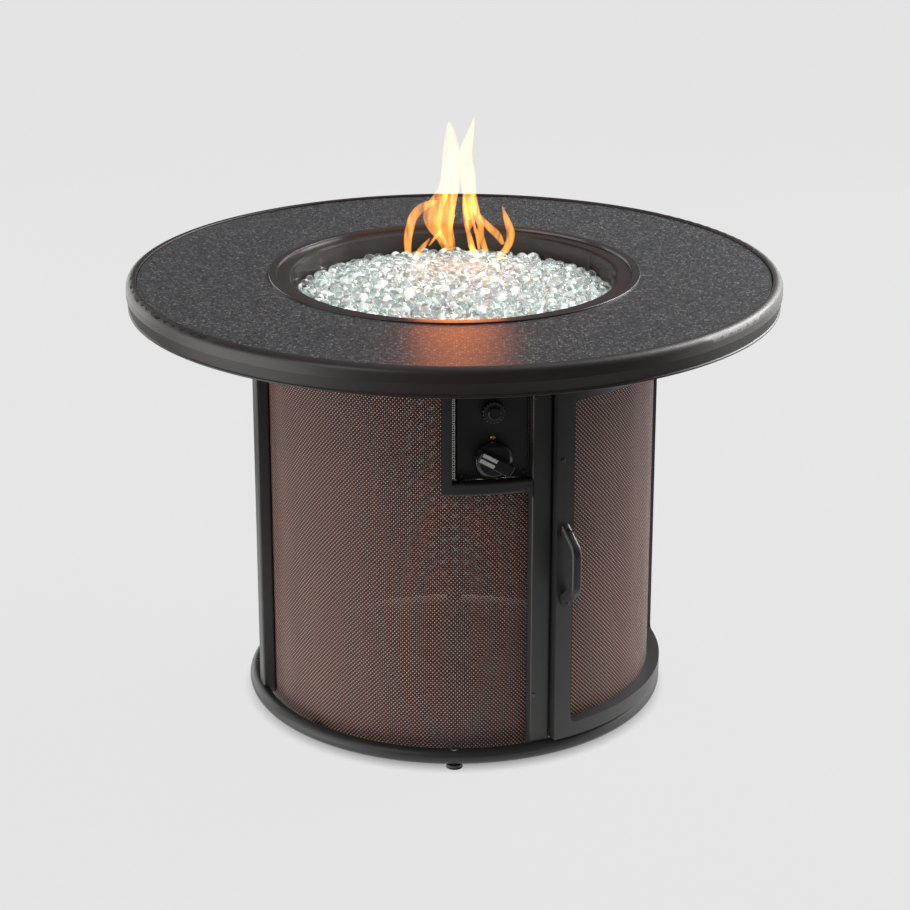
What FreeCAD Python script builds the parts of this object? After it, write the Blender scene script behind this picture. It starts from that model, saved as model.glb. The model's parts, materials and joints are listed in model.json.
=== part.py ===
import FreeCAD, Part
import math
import os
import Sketcher
from FreeCAD import Placement, Rotation, Vector

# Round gas fire pit table, in millimetres.
# Origin: middle of the floor under the table. +Z up, -Y towards the control panel side.
# Compass angles run from -Y towards +X, so 0 is the front and 90 is the right-hand side.

DRIVING_SIZES = {
    # stone-look top and its steel rim
    "rim_radius": 403,
    "rim_taper": 3,
    "rim_height": 34,
    "rim_lip_width": 12.5,
    "rim_wall": 2,
    "rim_nose": 9,
    "rim_bead": 1.2,
    "rim_hem": 9,
    "rim_proud": 2.5,
    "tile_thickness": 12,
    "tile_edge_gap": 0.5,
    "tile_edge_round": 1,
    "tile_hole_radius": 222,
    "support_plate_thickness": 2,
    "support_plate_gap": 7.5,
    "support_plate_flange": 10,
    "support_plate_edge_gap": 3.5,
    "channel_height": 21.5,
    "channel_width": 40,
    "channel_foot": 14,
    "channel_wall": 2,
    "channel_start_gap": 4,
    "channel_end_gap": 11.5,
    "first_channel_angle": 45,
    "top_bolt_radius": 3,
    "top_bolt_head_radius": 5,
    "top_bolt_head_height": 4,
    "top_bolt_grip": 13,
    "bolt_clearance": 0.1,
    # burner
    "pan_flange_lap": 7,
    "pan_flange_height": 2,
    "pan_side_gap": 2,
    "pan_ledge_drop": 3,
    "pan_ledge_width": 19,
    "pan_depth": 52.5,
    "pan_wall": 1.5,
    "pan_corner": 6,
    "pan_vent_radius": 4,
    "pan_vent_circle": 165,
    "pan_vent_count": 8,
    "burner_ring_radius": 120,
    "burner_tube_radius": 7,
    "burner_tube_lift": 3,
    "burner_port_radius": 1,
    "burner_port_count": 24,
    "hub_radius": 15,
    "nipple_radius": 10,
    "nipple_length": 14,
    "locknut_radius": 17,
    "locknut_height": 5,
    "thread_clearance": 0.05,
    "elbow_size": 28,
    "elbow_height": 22,
    "mixer_radius": 10,
    "mixer_length": 56,
    "mixer_window_radius": 3.5,
    "orifice_radius": 7,
    "orifice_length": 14,
    "supply_tube_radius": 4,
    "supply_tube_wall": 0.8,
    "supply_bend_radius": 30,
    "glass_edge_drop": 21.5,
    "glass_crown_rise": 14,
    "glass_clearance": 0.3,
    "bead_radius": 7,
    "bead_spacing": 15,
    "bead_side_count": 5,
    "bead_tilt": 14,
    "electrode_radius": 3,
    "electrode_tip_radius": 0.8,
    "electrode_tip_length": 9,
    "electrode_height": 37.4,
    "electrode_foot": 16,
    "electrode_gap": 3,
    "electrode_side": 7,
    "bracket_width": 26,
    "bracket_depth": 16,
    "bracket_thickness": 1.5,
    "lead_radius": 1.5,
    "lead_bend_radius": 20,
    # base
    "base_height": 512,
    "base_ring_offset": 0.5,
    "base_tube_radius": 9.5,
    "base_tube_wall": 1.5,
    "top_ring_height": 15,
    "top_ring_wall": 2,
    "post_outer_radius": 255,
    "post_depth": 16,
    "post_width": 25,
    "post_wall": 1.5,
    "post_corner": 3,
    "left_post_angle": -74,
    "front_post_angle": 23.8,
    "hinge_post_angle": 110.6,
    "rear_post_angle": 199,
    "mesh_thickness": 1.5,
    "mesh_clearance": 0.2,
    "mesh_joint_gap": 2,
    "tray_bar_width": 25,
    "tray_bar_thickness": 3,
    "tray_height": 10,
    "tray_end_clearance": 0.6,
    "tray_angle": 45,
    "hoop_radius": 104,
    "hoop_wall": 2.5,
    "hoop_height": 30,
    # feet
    "foot_pad_radius": 10,
    "foot_pad_thickness": 4.7,
    "foot_clearance": 0.3,
    "foot_stud_radius": 4,
    "foot_stud_length": 17,
    "foot_inset": 2,
    "bush_radius": 5.5,
    # control panel
    "panel_reveal": 7.4,
    "panel_bar_width": 12,
    "panel_height": 150,
    "panel_bar_height": 15.5,
    "panel_gusset": 7,
    "panel_joint_gap": 0.05,
    "plate_side_gap": 0.3,
    "plate_width": 85,
    "plate_recess": 15,
    "plate_thickness": 2,
    "plate_flange": 8,
    "plate_gap": 0.5,
    "lug_width": 6,
    "lug_height": 12,
    "lug_thickness": 2,
    "lug_gap": 0.1,
    "panel_screw_lift": 6,
    "centre_screw_lift": 25.5,
    "centre_screw_head": 3,
    # gas valve and knob
    "knob_lift": 25.5,
    "knob_radius": 22,
    "knob_skirt": 6,
    "knob_dome": 3,
    "knob_gap": 5,
    "knob_depth": 20,
    "knob_bar_width": 14.5,
    "knob_rest_turn": 60,
    "knob_travel": 4,
    "knob_end_gap": 0.3,
    "knob_hollow_radius": 13,
    "knob_hollow_depth": 7,
    "valve_radius": 14,
    "valve_length": 36,
    "valve_neck_radius": 6,
    "valve_neck_length": 7,
    "valve_nut_radius": 9,
    "valve_nut_height": 3.8,
    "stem_radius": 3,
    "stem_reach": 18,
    "stem_depth": 26,
    "running_clearance": 0.05,
    "hole_clearance": 0.3,
    "inlet_hex_radius": 10,
    "inlet_hex_height": 6,
    "inlet_radius": 7.94,
    "inlet_length": 16,
    "inlet_bore_radius": 3,
    "inlet_setback": 22,
    "outlet_size": 18,
    "outlet_reach": 21.8,
    # igniter
    "igniter_lift": 58,
    "igniter_radius": 9.5,
    "igniter_back": 52,
    "igniter_front": 9,
    "igniter_bore_depth": 9,
    "igniter_cell_bore_radius": 7.4,
    "igniter_end_wall": 2,
    "cell_radius": 7.1,
    "cell_length": 48,
    "collar_radius": 13.5,
    "collar_height": 9,
    "collar_flute_count": 18,
    "collar_flute_radius": 1.5,
    "button_radius": 7.9,
    "button_travel": 4,
    "button_end_gap": 0.5,
    "button_proud": 5.5,
    # door
    "door_catch_side_gap": 1.74,
    "door_hinge_side_gap": 2.19,
    "door_proud": 10,
    "door_depth": 16,
    "door_wall": 1.5,
    "pivot_boss_wall": 2.5,
    "door_stile": 23,
    "door_floor_gap": 1.5,
    "door_bottom_rail": 17.5,
    "door_top_rail": 39.5,
    "door_top_gap": 0.5,
    "door_corner": 6,
    "door_mesh_overlap": 2.5,
    "pivot_inset": 6,
    "pivot_edge_distance": 5.4,
    "pivot_pin_radius": 3,
    "pivot_pin_reach": 14.5,
    "pivot_pin_slack": 1,
    "pivot_bracket_thickness": 3,
    "pivot_bracket_gap": 0.5,
    "pivot_bracket_reach": 8,
    "pivot_washer_radius": 6,
    "pivot_washer_gap": 0.2,
    "handle_bottom": 200,
    "handle_height": 104,
    "handle_foot": 14,
    "handle_slope": 24,
    "handle_standoff": 30,
    "handle_thickness": 9,
    "handle_width": 12.5,
    "handle_round": 20,
    "handle_edge_round": 4.5,
    "handle_seat_gap": 0.15,
    "handle_screw_radius": 2.5,
    "handle_screw_head": 4,
    "handle_screw_head_height": 3,
    "handle_screw_grip": 13,
    # catch
    "catch_inset": 7.4,
    "catch_height": 384,
    "strike_width": 12,
    "strike_height": 30,
    "strike_thickness": 1.4,
    "magnet_width": 12,
    "magnet_depth": 9,
    "magnet_height": 34,
    "catch_gap": 0.3,
    "mesh_screw_side": 9,
    "mesh_screw_low": 86,
    "mesh_screw_drop": 35,
    "small_screw_radius": 1.5,
    "small_screw_head": 2.4,
    "small_screw_head_height": 1.5,
}

doc = FreeCAD.newDocument("fire_pit_table")
sheet = doc.addObject("Spreadsheet::Sheet", "sizes")
for row, (alias, number) in enumerate(DRIVING_SIZES.items(), start=1):
    sheet.set("A%d" % row, alias.replace("_", " "))
    sheet.set("B%d" % row, str(number))
    sheet.setAlias("B%d" % row, alias)
doc.recompute()


class Size:
    """A length, angle or count together with the sheet expression that it comes from."""

    def __init__(self, text, value):
        self.text = text
        self.value = float(value)

    def _join(self, other, sign, value, swap=False):
        other = as_size(other)
        first, second = (other, self) if swap else (self, other)
        text = "(%s %s %s)" % (first.text, sign, second.text)
        return Size(text, value(first.value, second.value))

    def __add__(self, other):
        return self._join(other, "+", lambda a, b: a + b)

    def __radd__(self, other):
        return self._join(other, "+", lambda a, b: a + b, swap=True)

    def __sub__(self, other):
        return self._join(other, "-", lambda a, b: a - b)

    def __rsub__(self, other):
        return self._join(other, "-", lambda a, b: a - b, swap=True)

    def __mul__(self, other):
        return self._join(other, "*", lambda a, b: a * b)

    def __rmul__(self, other):
        return self._join(other, "*", lambda a, b: a * b, swap=True)

    def __truediv__(self, other):
        return self._join(other, "/", lambda a, b: a / b)

    def __neg__(self):
        return self * -1

    def __float__(self):
        return self.value


def as_size(number):
    """Give a plain number the same form as a size from the sheet."""
    return number if isinstance(number, Size) else Size("(%r)" % float(number), number)


def root(size):
    """Square root of a size."""
    return Size("sqrt(%s)" % size.text, math.sqrt(size.value))


def degrees_at(length, radius):
    """Angle that a length takes up along a circle."""
    return length / radius * as_size(180) / Size("pi", math.pi)


class Sheet:
    """Reads the sizes by name."""

    def __getattr__(self, alias):
        return Size("sizes.%s" % alias, sheet.get(alias))


size = Sheet()


def bind(thing, target, value):
    """Tie a property or constraint to its sheet expression."""
    thing.setExpression(target, as_size(value).text)


def turned(angle):
    """Placement about the table's axis at a compass angle."""
    return Placement(Vector(), Rotation(Vector(0, 0, 1), float(angle)))


def facing(angle, distance, height, side=0, roll=0):
    """Placement whose x runs to the right, y up and z outwards at a compass angle."""
    turn = math.radians(float(angle))
    right = Vector(math.cos(turn), math.sin(turn), 0)
    outward = Vector(math.sin(turn), -math.cos(turn), 0)
    place = outward * float(distance) + right * float(side) + Vector(0, 0, float(height))
    frame = Rotation(right, Vector(0, 0, 1), outward, "ZXY")
    return Placement(place, frame * Rotation(Vector(0, 0, 1), float(roll)))


def new_body(label):
    """Start a sub-part."""
    body = doc.addObject("PartDesign::Body", label)
    body.Label = label
    return body


def corner_arc(before, corner, after, radius):
    """Centre, ends and sense of the arc that rounds one corner."""
    first = (before - corner).normalize()
    second = (after - corner).normalize()
    half = first.getAngle(second) / 2
    start = corner + first * (radius / math.tan(half))
    end = corner + second * (radius / math.tan(half))
    centre = corner + (first + second).normalize() * (radius / math.sin(half))
    left_turn = (corner - before).cross(after - corner).z > 0
    return centre, start, end, left_turn


def draw_outline(sketch, corners):
    """Closed outline through corners (x, y) or (x, y, rounding), fully tied to the sheet."""
    corners = [tuple(as_size(number) for number in corner) for corner in corners]
    points = [Vector(corner[0].value, corner[1].value, 0) for corner in corners]
    count = len(points)
    arcs = {}
    for index, corner in enumerate(corners):
        if len(corner) == 3:
            arcs[index] = corner_arc(points[index - 1], points[index],
                                     points[(index + 1) % count], corner[2].value)
    for index in range(count):
        following = (index + 1) % count
        start = arcs[index][2] if index in arcs else points[index]
        end = arcs[following][1] if following in arcs else points[following]
        sketch.addGeometry(Part.LineSegment(start, end), False)
    for index, corner in enumerate(corners):
        previous = (index - 1) % count
        if index in arcs:
            centre, start, end, left_turn = arcs[index]
            circle = Part.Circle(centre, Vector(0, 0, 1), corner[2].value)
            first, last = (start, end) if left_turn else (end, start)
            angles = [math.atan2(point.y - centre.y, point.x - centre.x) for point in (first, last)]
            arc = sketch.addGeometry(Part.ArcOfCircle(circle, *angles), False)
            into, out = (1, 2) if left_turn else (2, 1)
            sketch.addConstraint(Sketcher.Constraint("Tangent", previous, 2, arc, into))
            sketch.addConstraint(Sketcher.Constraint("Tangent", index, 1, arc, out))
            mark = sketch.addGeometry(Part.Point(points[index]), True)
            sketch.addConstraint(Sketcher.Constraint("PointOnObject", mark, 1, previous))
            sketch.addConstraint(Sketcher.Constraint("PointOnObject", mark, 1, index))
            held = (mark, 1)
            radius = sketch.addConstraint(Sketcher.Constraint("Radius", arc, corner[2].value))
            bind(sketch, "Constraints[%d]" % radius, corner[2])
        else:
            sketch.addConstraint(Sketcher.Constraint("Coincident", previous, 2, index, 1))
            held = (index, 1)
        for kind, number in (("DistanceX", corner[0]), ("DistanceY", corner[1])):
            tie = sketch.addConstraint(Sketcher.Constraint(kind, -1, 1, *held, number.value))
            bind(sketch, "Constraints[%d]" % tie, number)


def draw_circle(sketch, across, along, radius):
    """Circle tied to the sheet."""
    across, along, radius = as_size(across), as_size(along), as_size(radius)
    centre = Vector(across.value, along.value, 0)
    circle = sketch.addGeometry(Part.Circle(centre, Vector(0, 0, 1), radius.value), False)
    ties = (("Radius", (circle,), radius), ("DistanceX", (-1, 1, circle, 3), across),
            ("DistanceY", (-1, 1, circle, 3), along))
    for kind, held, number in ties:
        tie = sketch.addConstraint(Sketcher.Constraint(kind, *held, number.value))
        bind(sketch, "Constraints[%d]" % tie, number)


def new_sketch(body, plane, lift=0, turn=0):
    """Sketch on one of the body's planes, lifted along its normal or turned about its height."""
    sketch = body.newObject("Sketcher::SketchObject", body.Name + "_sketch")
    origin_plane = [item for item in body.Origin.OriginFeatures if item.Role == plane][0]
    sketch.AttachmentSupport = (origin_plane, "")
    sketch.MapMode = "FlatFace"
    turning = Rotation(Vector(0, 1, 0), float(turn))
    sketch.AttachmentOffset = Placement(Vector(0, 0, float(lift)), turning)
    if isinstance(lift, Size):
        bind(sketch, "AttachmentOffset.Base.z", lift)
    return sketch


def add_ring(body, corners, middle=None, span=None, cut=False):
    """Turn a (radius, height) outline about the body's z axis, fully or about a compass angle."""
    turn = 0 if middle is None else float(middle) - 90
    sketch = new_sketch(body, "XZ_Plane", turn=turn)
    draw_outline(sketch, corners)
    kind = "PartDesign::Groove" if cut else "PartDesign::Revolution"
    ring = body.newObject(kind, body.Name + "_ring")
    ring.Profile = sketch
    ring.ReferenceAxis = (sketch, ["V_Axis"])
    if span is None:
        ring.Angle = 360
    else:
        ring.Midplane = True
        bind(ring, "Angle", span)
    sketch.Visibility = False
    return ring


def add_pad(body, plane, outline, length, lift=0, symmetric=False, cut=False, backwards=False):
    """Push an outline, or a circle (x, y, radius), out of one of the body's planes."""
    sketch = new_sketch(body, plane, lift=lift)
    if isinstance(outline, tuple):
        draw_circle(sketch, *outline)
    else:
        draw_outline(sketch, outline)
    kind = "PartDesign::Pocket" if cut else "PartDesign::Pad"
    pad = body.newObject(kind, body.Name + "_pad")
    pad.Profile = sketch
    bind(pad, "Length", length)
    if symmetric:
        pad.SideType = "Symmetric"
    pad.Reversed = backwards
    sketch.Visibility = False
    return pad


def box_outline(left, right, low, high, rounding=None):
    """Rectangle, with rounded corners if asked."""
    corners = [(left, low), (right, low), (right, high), (left, high)]
    return [corner + (rounding,) for corner in corners] if rounding else corners


def round_edges(body, radius, wanted):
    """Fillet the edges of the body's latest feature that the test picks."""
    doc.recompute()
    feature = body.Tip
    names = ["Edge%d" % number for number, edge in enumerate(feature.Shape.Edges, start=1)
             if wanted(edge)]
    fillet = body.newObject("PartDesign::Fillet", body.Name + "_fillet")
    fillet.Base = (feature, names)
    bind(fillet, "Radius", radius)
    return fillet


def is_upright(edge):
    """True for a straight edge along the body's z axis."""
    if edge.Curve.TypeId != "Part::GeomLine":
        return False
    return abs(edge.Curve.Direction.z) > 0.999


def add_cylinder(name, radius, height, placement):
    """Part cylinder tied to the sheet."""
    cylinder = doc.addObject("Part::Cylinder", name)
    bind(cylinder, "Radius", radius)
    bind(cylinder, "Height", height)
    cylinder.Placement = placement
    return cylinder


def add_torus(name, radius, tube, height):
    """Part torus round the table's axis."""
    torus = doc.addObject("Part::Torus", name)
    bind(torus, "Radius1", radius)
    bind(torus, "Radius2", tube)
    torus.Placement = Placement(Vector(0, 0, float(height)), Rotation())
    return torus


def cut_away(label, base, tools):
    """Base with every tool cut out of it, under a new label."""
    tool = tools[0]
    if len(tools) > 1:
        tool = doc.addObject("Part::Compound", label + "_tools")
        tool.Links = tools
    result = doc.addObject("Part::Cut", label)
    result.Base = base
    result.Tool = tool
    if base.Label == label:
        base.Label = label + "_blank"
    result.Label = label
    return result


def fuse(label, pieces):
    """Pieces that are welded or moulded into one."""
    result = doc.addObject("Part::MultiFuse", label)
    result.Shapes = pieces
    result.Label = label
    return result


def solid_group(label, solids):
    """Several separate solids under one label."""
    group = doc.addObject("Part::Feature", label)
    group.Shape = Part.makeCompound(solids) if len(solids) > 1 else solids[0]
    group.Label = label
    return group


def spot(angle, radius, height, side=0):
    """Point at a compass angle, optionally shifted sideways along the tangent."""
    return facing(angle, radius, height, side).Base


def upright_at(angle, radius, height, side=0):
    """Placement standing upright at a compass angle."""
    return Placement(spot(angle, radius, height, side), turned(angle).Rotation)


sub_parts = []

# Levels, radii and angles that several pieces share
ring_height = size.foot_pad_thickness + size.foot_clearance + size.base_tube_radius
ring_top = ring_height + size.base_tube_radius
top_ring_bottom = size.base_height - size.top_ring_height
plate_bottom = size.base_height + size.channel_height
plate_top = plate_bottom + size.support_plate_thickness
tile_top = plate_top + size.tile_thickness
rim_top = tile_top + size.rim_proud
rim_bottom = rim_top - size.rim_height
rim_inner_radius = size.rim_radius - size.rim_lip_width
rim_foot_radius = size.rim_radius - size.rim_taper
plate_edge_radius = size.rim_radius - size.rim_wall - size.support_plate_edge_gap

pan_flange_radius = size.tile_hole_radius + size.pan_flange_lap
pan_ledge_radius = size.tile_hole_radius - size.pan_side_gap
pan_inner_radius = pan_ledge_radius - size.pan_ledge_width
plate_hole_radius = pan_inner_radius + size.pan_wall + size.support_plate_gap
channel_start_radius = plate_hole_radius + size.support_plate_thickness + size.channel_start_gap
pan_floor = tile_top - size.pan_depth
pan_floor_top = pan_floor + size.pan_wall
glass_edge = tile_top - size.glass_edge_drop
glass_crown = glass_edge + size.glass_crown_rise
electrode_distance = (size.burner_ring_radius + size.burner_tube_radius
                      + size.electrode_gap + size.electrode_radius)

post_inner_radius = size.post_outer_radius - size.post_depth
base_ring_radius = size.post_outer_radius + size.base_ring_offset
mesh_outer_radius = post_inner_radius - size.mesh_clearance
mesh_inner_radius = mesh_outer_radius - size.mesh_thickness

panel_bottom = top_ring_bottom - size.panel_height
panel_sill = panel_bottom + size.panel_bar_height
plate_radius = size.post_outer_radius - size.plate_recess
plate_back = plate_radius - size.plate_thickness
plate_angle = size.front_post_angle - degrees_at(
    size.post_width / 2 + size.plate_side_gap + size.plate_width / 2, plate_radius)
panel_left_angle = plate_angle - degrees_at(
    size.plate_width / 2 + size.panel_reveal + size.panel_bar_width, size.post_outer_radius)
knob_height = panel_sill + size.knob_lift
centre_screw_height = knob_height + size.centre_screw_lift
igniter_height = knob_height + size.igniter_lift
valve_rear_radius = plate_back - size.lug_gap - size.valve_length
supply_rise_radius = valve_rear_radius - size.bolt_clearance - size.outlet_reach

door_outer_radius = size.post_outer_radius + size.door_proud
door_inner_radius = door_outer_radius - size.door_depth
door_bottom = ring_top + size.door_floor_gap
door_top = top_ring_bottom - size.pivot_bracket_thickness - size.door_top_gap
door_opening_top = door_top - size.door_top_rail
door_start_angle = size.front_post_angle + degrees_at(
    size.post_width / 2 + size.door_catch_side_gap, size.post_outer_radius)
door_end_angle = size.hinge_post_angle - degrees_at(
    size.post_width / 2 + size.door_hinge_side_gap, size.post_outer_radius)
pivot_radius = door_outer_radius - size.pivot_inset
pivot_angle = door_end_angle - degrees_at(size.pivot_edge_distance, pivot_radius)
handle_angle = door_start_angle + degrees_at(size.door_stile / 2, door_outer_radius)
catch_angle = door_start_angle + degrees_at(size.catch_inset, door_outer_radius)


def make_top():
    """Rim, stone-look ring, support plate, channels and bolts."""
    rim = new_body("top_rim")
    wall = size.rim_wall
    shoulder = rim_top - size.rim_height / 2
    foot = rim_foot_radius + size.rim_bead
    lip_inside = rim_inner_radius + wall
    add_ring(rim, [
        (rim_inner_radius, plate_top),
        (rim_inner_radius, rim_top, wall / 2),
        (size.rim_radius, rim_top, size.rim_nose),
        (size.rim_radius, shoulder),
        (rim_foot_radius, rim_bottom + wall * 1.5),
        (foot, rim_bottom + wall),
        (foot, rim_bottom, wall / 3),
        (rim_foot_radius - size.rim_hem, rim_bottom),
        (rim_foot_radius - size.rim_hem, rim_bottom + wall),
        (rim_foot_radius - wall, rim_bottom + wall),
        (size.rim_radius - wall, shoulder),
        (size.rim_radius - wall, rim_top - wall, size.rim_nose - wall),
        (lip_inside, rim_top - wall),
        (lip_inside, plate_top)])
    tile = new_body("stone_top")
    edge = size.tile_edge_round
    tile_radius = rim_inner_radius - size.tile_edge_gap
    add_ring(tile, [
        (size.tile_hole_radius, plate_top),
        (tile_radius, plate_top),
        (tile_radius, tile_top, edge),
        (size.tile_hole_radius, tile_top, edge)])
    plate = new_body("support_plate")
    hole = plate_hole_radius
    thick = size.support_plate_thickness
    add_ring(plate, [
        (hole, plate_bottom - size.support_plate_flange),
        (hole + thick, plate_bottom - size.support_plate_flange),
        (hole + thick, plate_bottom),
        (plate_edge_radius, plate_bottom),
        (plate_edge_radius, plate_top),
        (hole, plate_top)])
    return [rim, tile, plate] + make_channels()


def channel_angles():
    """Compass angles of the four support channels."""
    return [size.first_channel_angle.value + 90 * index for index in range(4)]


def bolt_spots():
    """Side and depth of a bolt in a channel's own frame: one through each foot."""
    side = size.channel_width / 2 + size.channel_foot / 2
    middle = size.post_outer_radius - size.post_depth / 2
    return [(side * sign, root(middle * middle - side * side)) for sign in (-1, 1)]


def make_channels():
    """Inverted channels between the base's top ring and the support plate, with their bolts."""
    made = []
    half = size.channel_width / 2
    wall = size.channel_wall
    toe = half + size.channel_foot
    low = size.base_height
    bolts = []
    for number, angle in enumerate(channel_angles(), start=1):
        channel = new_body("support_channel_%d" % number)
        add_pad(channel, "XZ_Plane", [
            (-toe, low), (-half + wall, low), (-half + wall, plate_bottom - wall),
            (half - wall, plate_bottom - wall), (half - wall, low), (toe, low),
            (toe, low + wall), (half, low + wall), (half, plate_bottom),
            (-half, plate_bottom), (-half, low + wall), (-toe, low + wall)],
            plate_edge_radius - size.channel_end_gap - channel_start_radius,
            lift=channel_start_radius)
        for side, depth in bolt_spots():
            add_pad(channel, "XY_Plane", (side, -depth, size.top_bolt_radius + size.bolt_clearance),
                    low + wall * 2, cut=True, backwards=True)
        channel.Placement = turned(angle)
        made.append(channel)
        for side, depth in bolt_spots():
            bolts.append(make_bolt(angle, side, depth))
    made.append(solid_group("top_bolts", bolts))
    return made


def make_bolt(angle, side, depth):
    """Hexagon-headed bolt down through a channel foot into the top ring."""
    head_low = size.base_height + size.channel_wall
    length = size.channel_wall + size.top_bolt_grip
    place = spot(angle, depth, head_low, side)
    head_corners = [place + Vector(math.cos(math.radians(60 * step)),
                                   math.sin(math.radians(60 * step)), 0)
                    * size.top_bolt_head_radius.value for step in range(7)]
    head = Part.Face(Part.makePolygon(head_corners)).extrude(
        Vector(0, 0, size.top_bolt_head_height.value))
    down = Vector(0, 0, -1)
    return head.fuse(Part.makeCylinder(size.top_bolt_radius.value, length.value, place, down))


def make_pan():
    """Burner pan: flange on the stone, step, ledge, straight wall and vented floor."""
    pan = new_body("burner_pan_blank")
    wall = size.pan_wall
    flange_top = tile_top + size.pan_flange_height
    ledge = flange_top - size.pan_ledge_drop
    ledge_radius = pan_ledge_radius
    inner = pan_inner_radius
    nipple_hole = size.nipple_radius + size.hole_clearance
    add_ring(pan, [
        (pan_flange_radius, tile_top),
        (pan_flange_radius, flange_top, wall / 2),
        (ledge_radius, flange_top, wall / 3),
        (ledge_radius - wall / 2, ledge, wall / 3),
        (inner + wall * 2, ledge - wall / 2),
        (inner, ledge - wall * 2),
        (inner, pan_floor_top, size.pan_corner),
        (nipple_hole, pan_floor_top),
        (nipple_hole, pan_floor),
        (inner + wall, pan_floor, size.pan_corner + wall),
        (inner + wall, ledge - wall * 2.6),
        (inner + wall * 2, ledge - wall * 1.6),
        (ledge_radius - wall / 2, ledge - wall),
        (ledge_radius + wall / 2, tile_top)])
    tools = []
    below_floor = pan_floor - size.pan_wall / 2
    for index in range(int(size.pan_vent_count.value)):
        angle = 360 / size.pan_vent_count.value * (index + 0.5)
        tools.append(add_cylinder("vent_cut", size.pan_vent_radius, size.pan_wall * 2,
                                  upright_at(angle, size.pan_vent_circle, below_floor)))
    tools.append(add_cylinder("electrode_cut", size.electrode_radius + size.hole_clearance,
                              size.pan_wall * 2, electrode_place(below_floor)))
    return cut_away("burner_pan", pan, tools)


def electrode_place(height):
    """Upright placement on the electrode's axis."""
    return upright_at(plate_angle, electrode_distance, height, size.electrode_side)


def burner_ring_height():
    """Height of the burner tube's centre line."""
    return pan_floor_top + size.burner_tube_lift + size.burner_tube_radius


def burner_pieces(label, margin):
    """Solids of the welded burner, grown by a margin."""
    height = burner_ring_height()
    ring = size.burner_ring_radius
    tube = size.burner_tube_radius + margin
    pieces = [add_torus(label + "_loop", ring, tube, height)]
    for turn in (0, 90):
        across = Rotation(Vector(0, 0, 1), turn) * Rotation(Vector(0, 1, 0), 90)
        start = across.multVec(Vector(0, 0, -ring.value)) + Vector(0, 0, height.value)
        pieces.append(add_cylinder(label + "_spoke", tube * 0.9, ring * 2,
                                   Placement(start, across)))
    hub_top = height + size.burner_tube_radius + margin
    pieces.append(add_cylinder(label + "_hub", size.hub_radius + margin, hub_top - pan_floor_top,
                               level(pan_floor_top)))
    return pieces


def level(height):
    """Placement on the table's axis at a height."""
    return Placement(Vector(0, 0, float(height)), Rotation())


def nipple_bottom():
    """Height of the lower end of the burner's threaded nipple."""
    return pan_floor - size.locknut_height - size.nipple_length


def make_burner():
    """Burner, lock nut, elbow, air mixer, orifice and supply tube."""
    height = burner_ring_height()
    nipple = add_cylinder("nipple", size.nipple_radius, pan_floor_top - nipple_bottom(),
                          level(nipple_bottom()))
    welded = fuse("burner_blank", burner_pieces("burner", 0) + [nipple])
    ports = []
    count = int(size.burner_port_count.value)
    for index in range(count):
        ports.append(add_cylinder("port", size.burner_port_radius, size.burner_tube_radius * 2,
                                  upright_at(360 / count * (index + 0.5), size.burner_ring_radius,
                                             height)))
    bore = add_cylinder("nipple_bore", size.nipple_radius / 2,
                        height - nipple_bottom() + size.burner_tube_radius / 2,
                        level(nipple_bottom() - 1))
    burner = cut_away("burner_ring", welded, ports + [bore])
    fit = size.nipple_radius + size.thread_clearance
    nut = new_body("hub_locknut")
    add_pad(nut, "XY_Plane", hexagon(size.locknut_radius), size.locknut_height,
            lift=pan_floor - size.locknut_height)
    add_pad(nut, "XY_Plane", (0, 0, fit), size.locknut_height, lift=pan_floor, cut=True)
    return [burner, nut] + make_feed(fit)


def hexagon(radius):
    """Corners of a hexagon."""
    half = root(as_size(3)) * radius / 2
    return [(radius, 0), (radius / 2, half), (-radius / 2, half),
            (-radius, 0), (-radius / 2, -half), (radius / 2, -half)]


def feed_height():
    """Height of the level part of the gas feed."""
    return pan_floor - size.locknut_height - size.elbow_height / 2


def make_feed(fit):
    """Elbow under the nut, air mixer with windows, orifice and the bent supply tube."""
    middle = feed_height()
    half = size.elbow_size / 2
    elbow = new_body("feed_elbow")
    add_pad(elbow, "XY_Plane", box_outline(-half, half, -half, half, size.post_corner),
            size.elbow_height, lift=middle - size.elbow_height / 2)
    add_pad(elbow, "XY_Plane", (0, 0, fit), size.nipple_length,
            lift=middle + size.elbow_height / 2, cut=True)
    elbow.Placement = turned(plate_angle)
    mixer_start = half + size.bolt_clearance
    mixer = new_body("air_mixer")
    add_pad(mixer, "XY_Plane", (0, 0, size.mixer_radius), size.mixer_length)
    bore = size.orifice_radius + size.thread_clearance
    add_pad(mixer, "XY_Plane", (0, 0, bore), size.mixer_length - size.mixer_radius / 2,
            lift=size.mixer_length, cut=True)
    add_pad(mixer, "XZ_Plane", (0, size.mixer_length / 2, size.mixer_window_radius),
            size.mixer_radius * 3, cut=True, symmetric=True)
    mixer.Placement = facing(plate_angle, mixer_start, middle)
    orifice = new_body("orifice")
    orifice_start = mixer_start + size.mixer_length - size.orifice_length / 2
    add_pad(orifice, "XY_Plane", (0, 0, size.orifice_radius), size.orifice_length)
    add_pad(orifice, "XY_Plane", (0, 0, size.burner_port_radius), size.orifice_length,
            lift=size.orifice_length, cut=True)
    orifice.Placement = facing(plate_angle, orifice_start, middle)
    tube_start = orifice_start + size.orifice_length + size.bolt_clearance
    path = bent_path((tube_start, middle), (supply_rise_radius, middle),
                     (supply_rise_radius, outlet_top() + size.bolt_clearance),
                     size.supply_bend_radius, 0)
    return [elbow, mixer, orifice,
            make_tube("supply_tube", path, size.supply_tube_radius, size.supply_tube_wall)]


def outlet_top():
    """Height of the top face of the valve's outlet elbow."""
    return knob_height + size.outlet_size / 2


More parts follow.
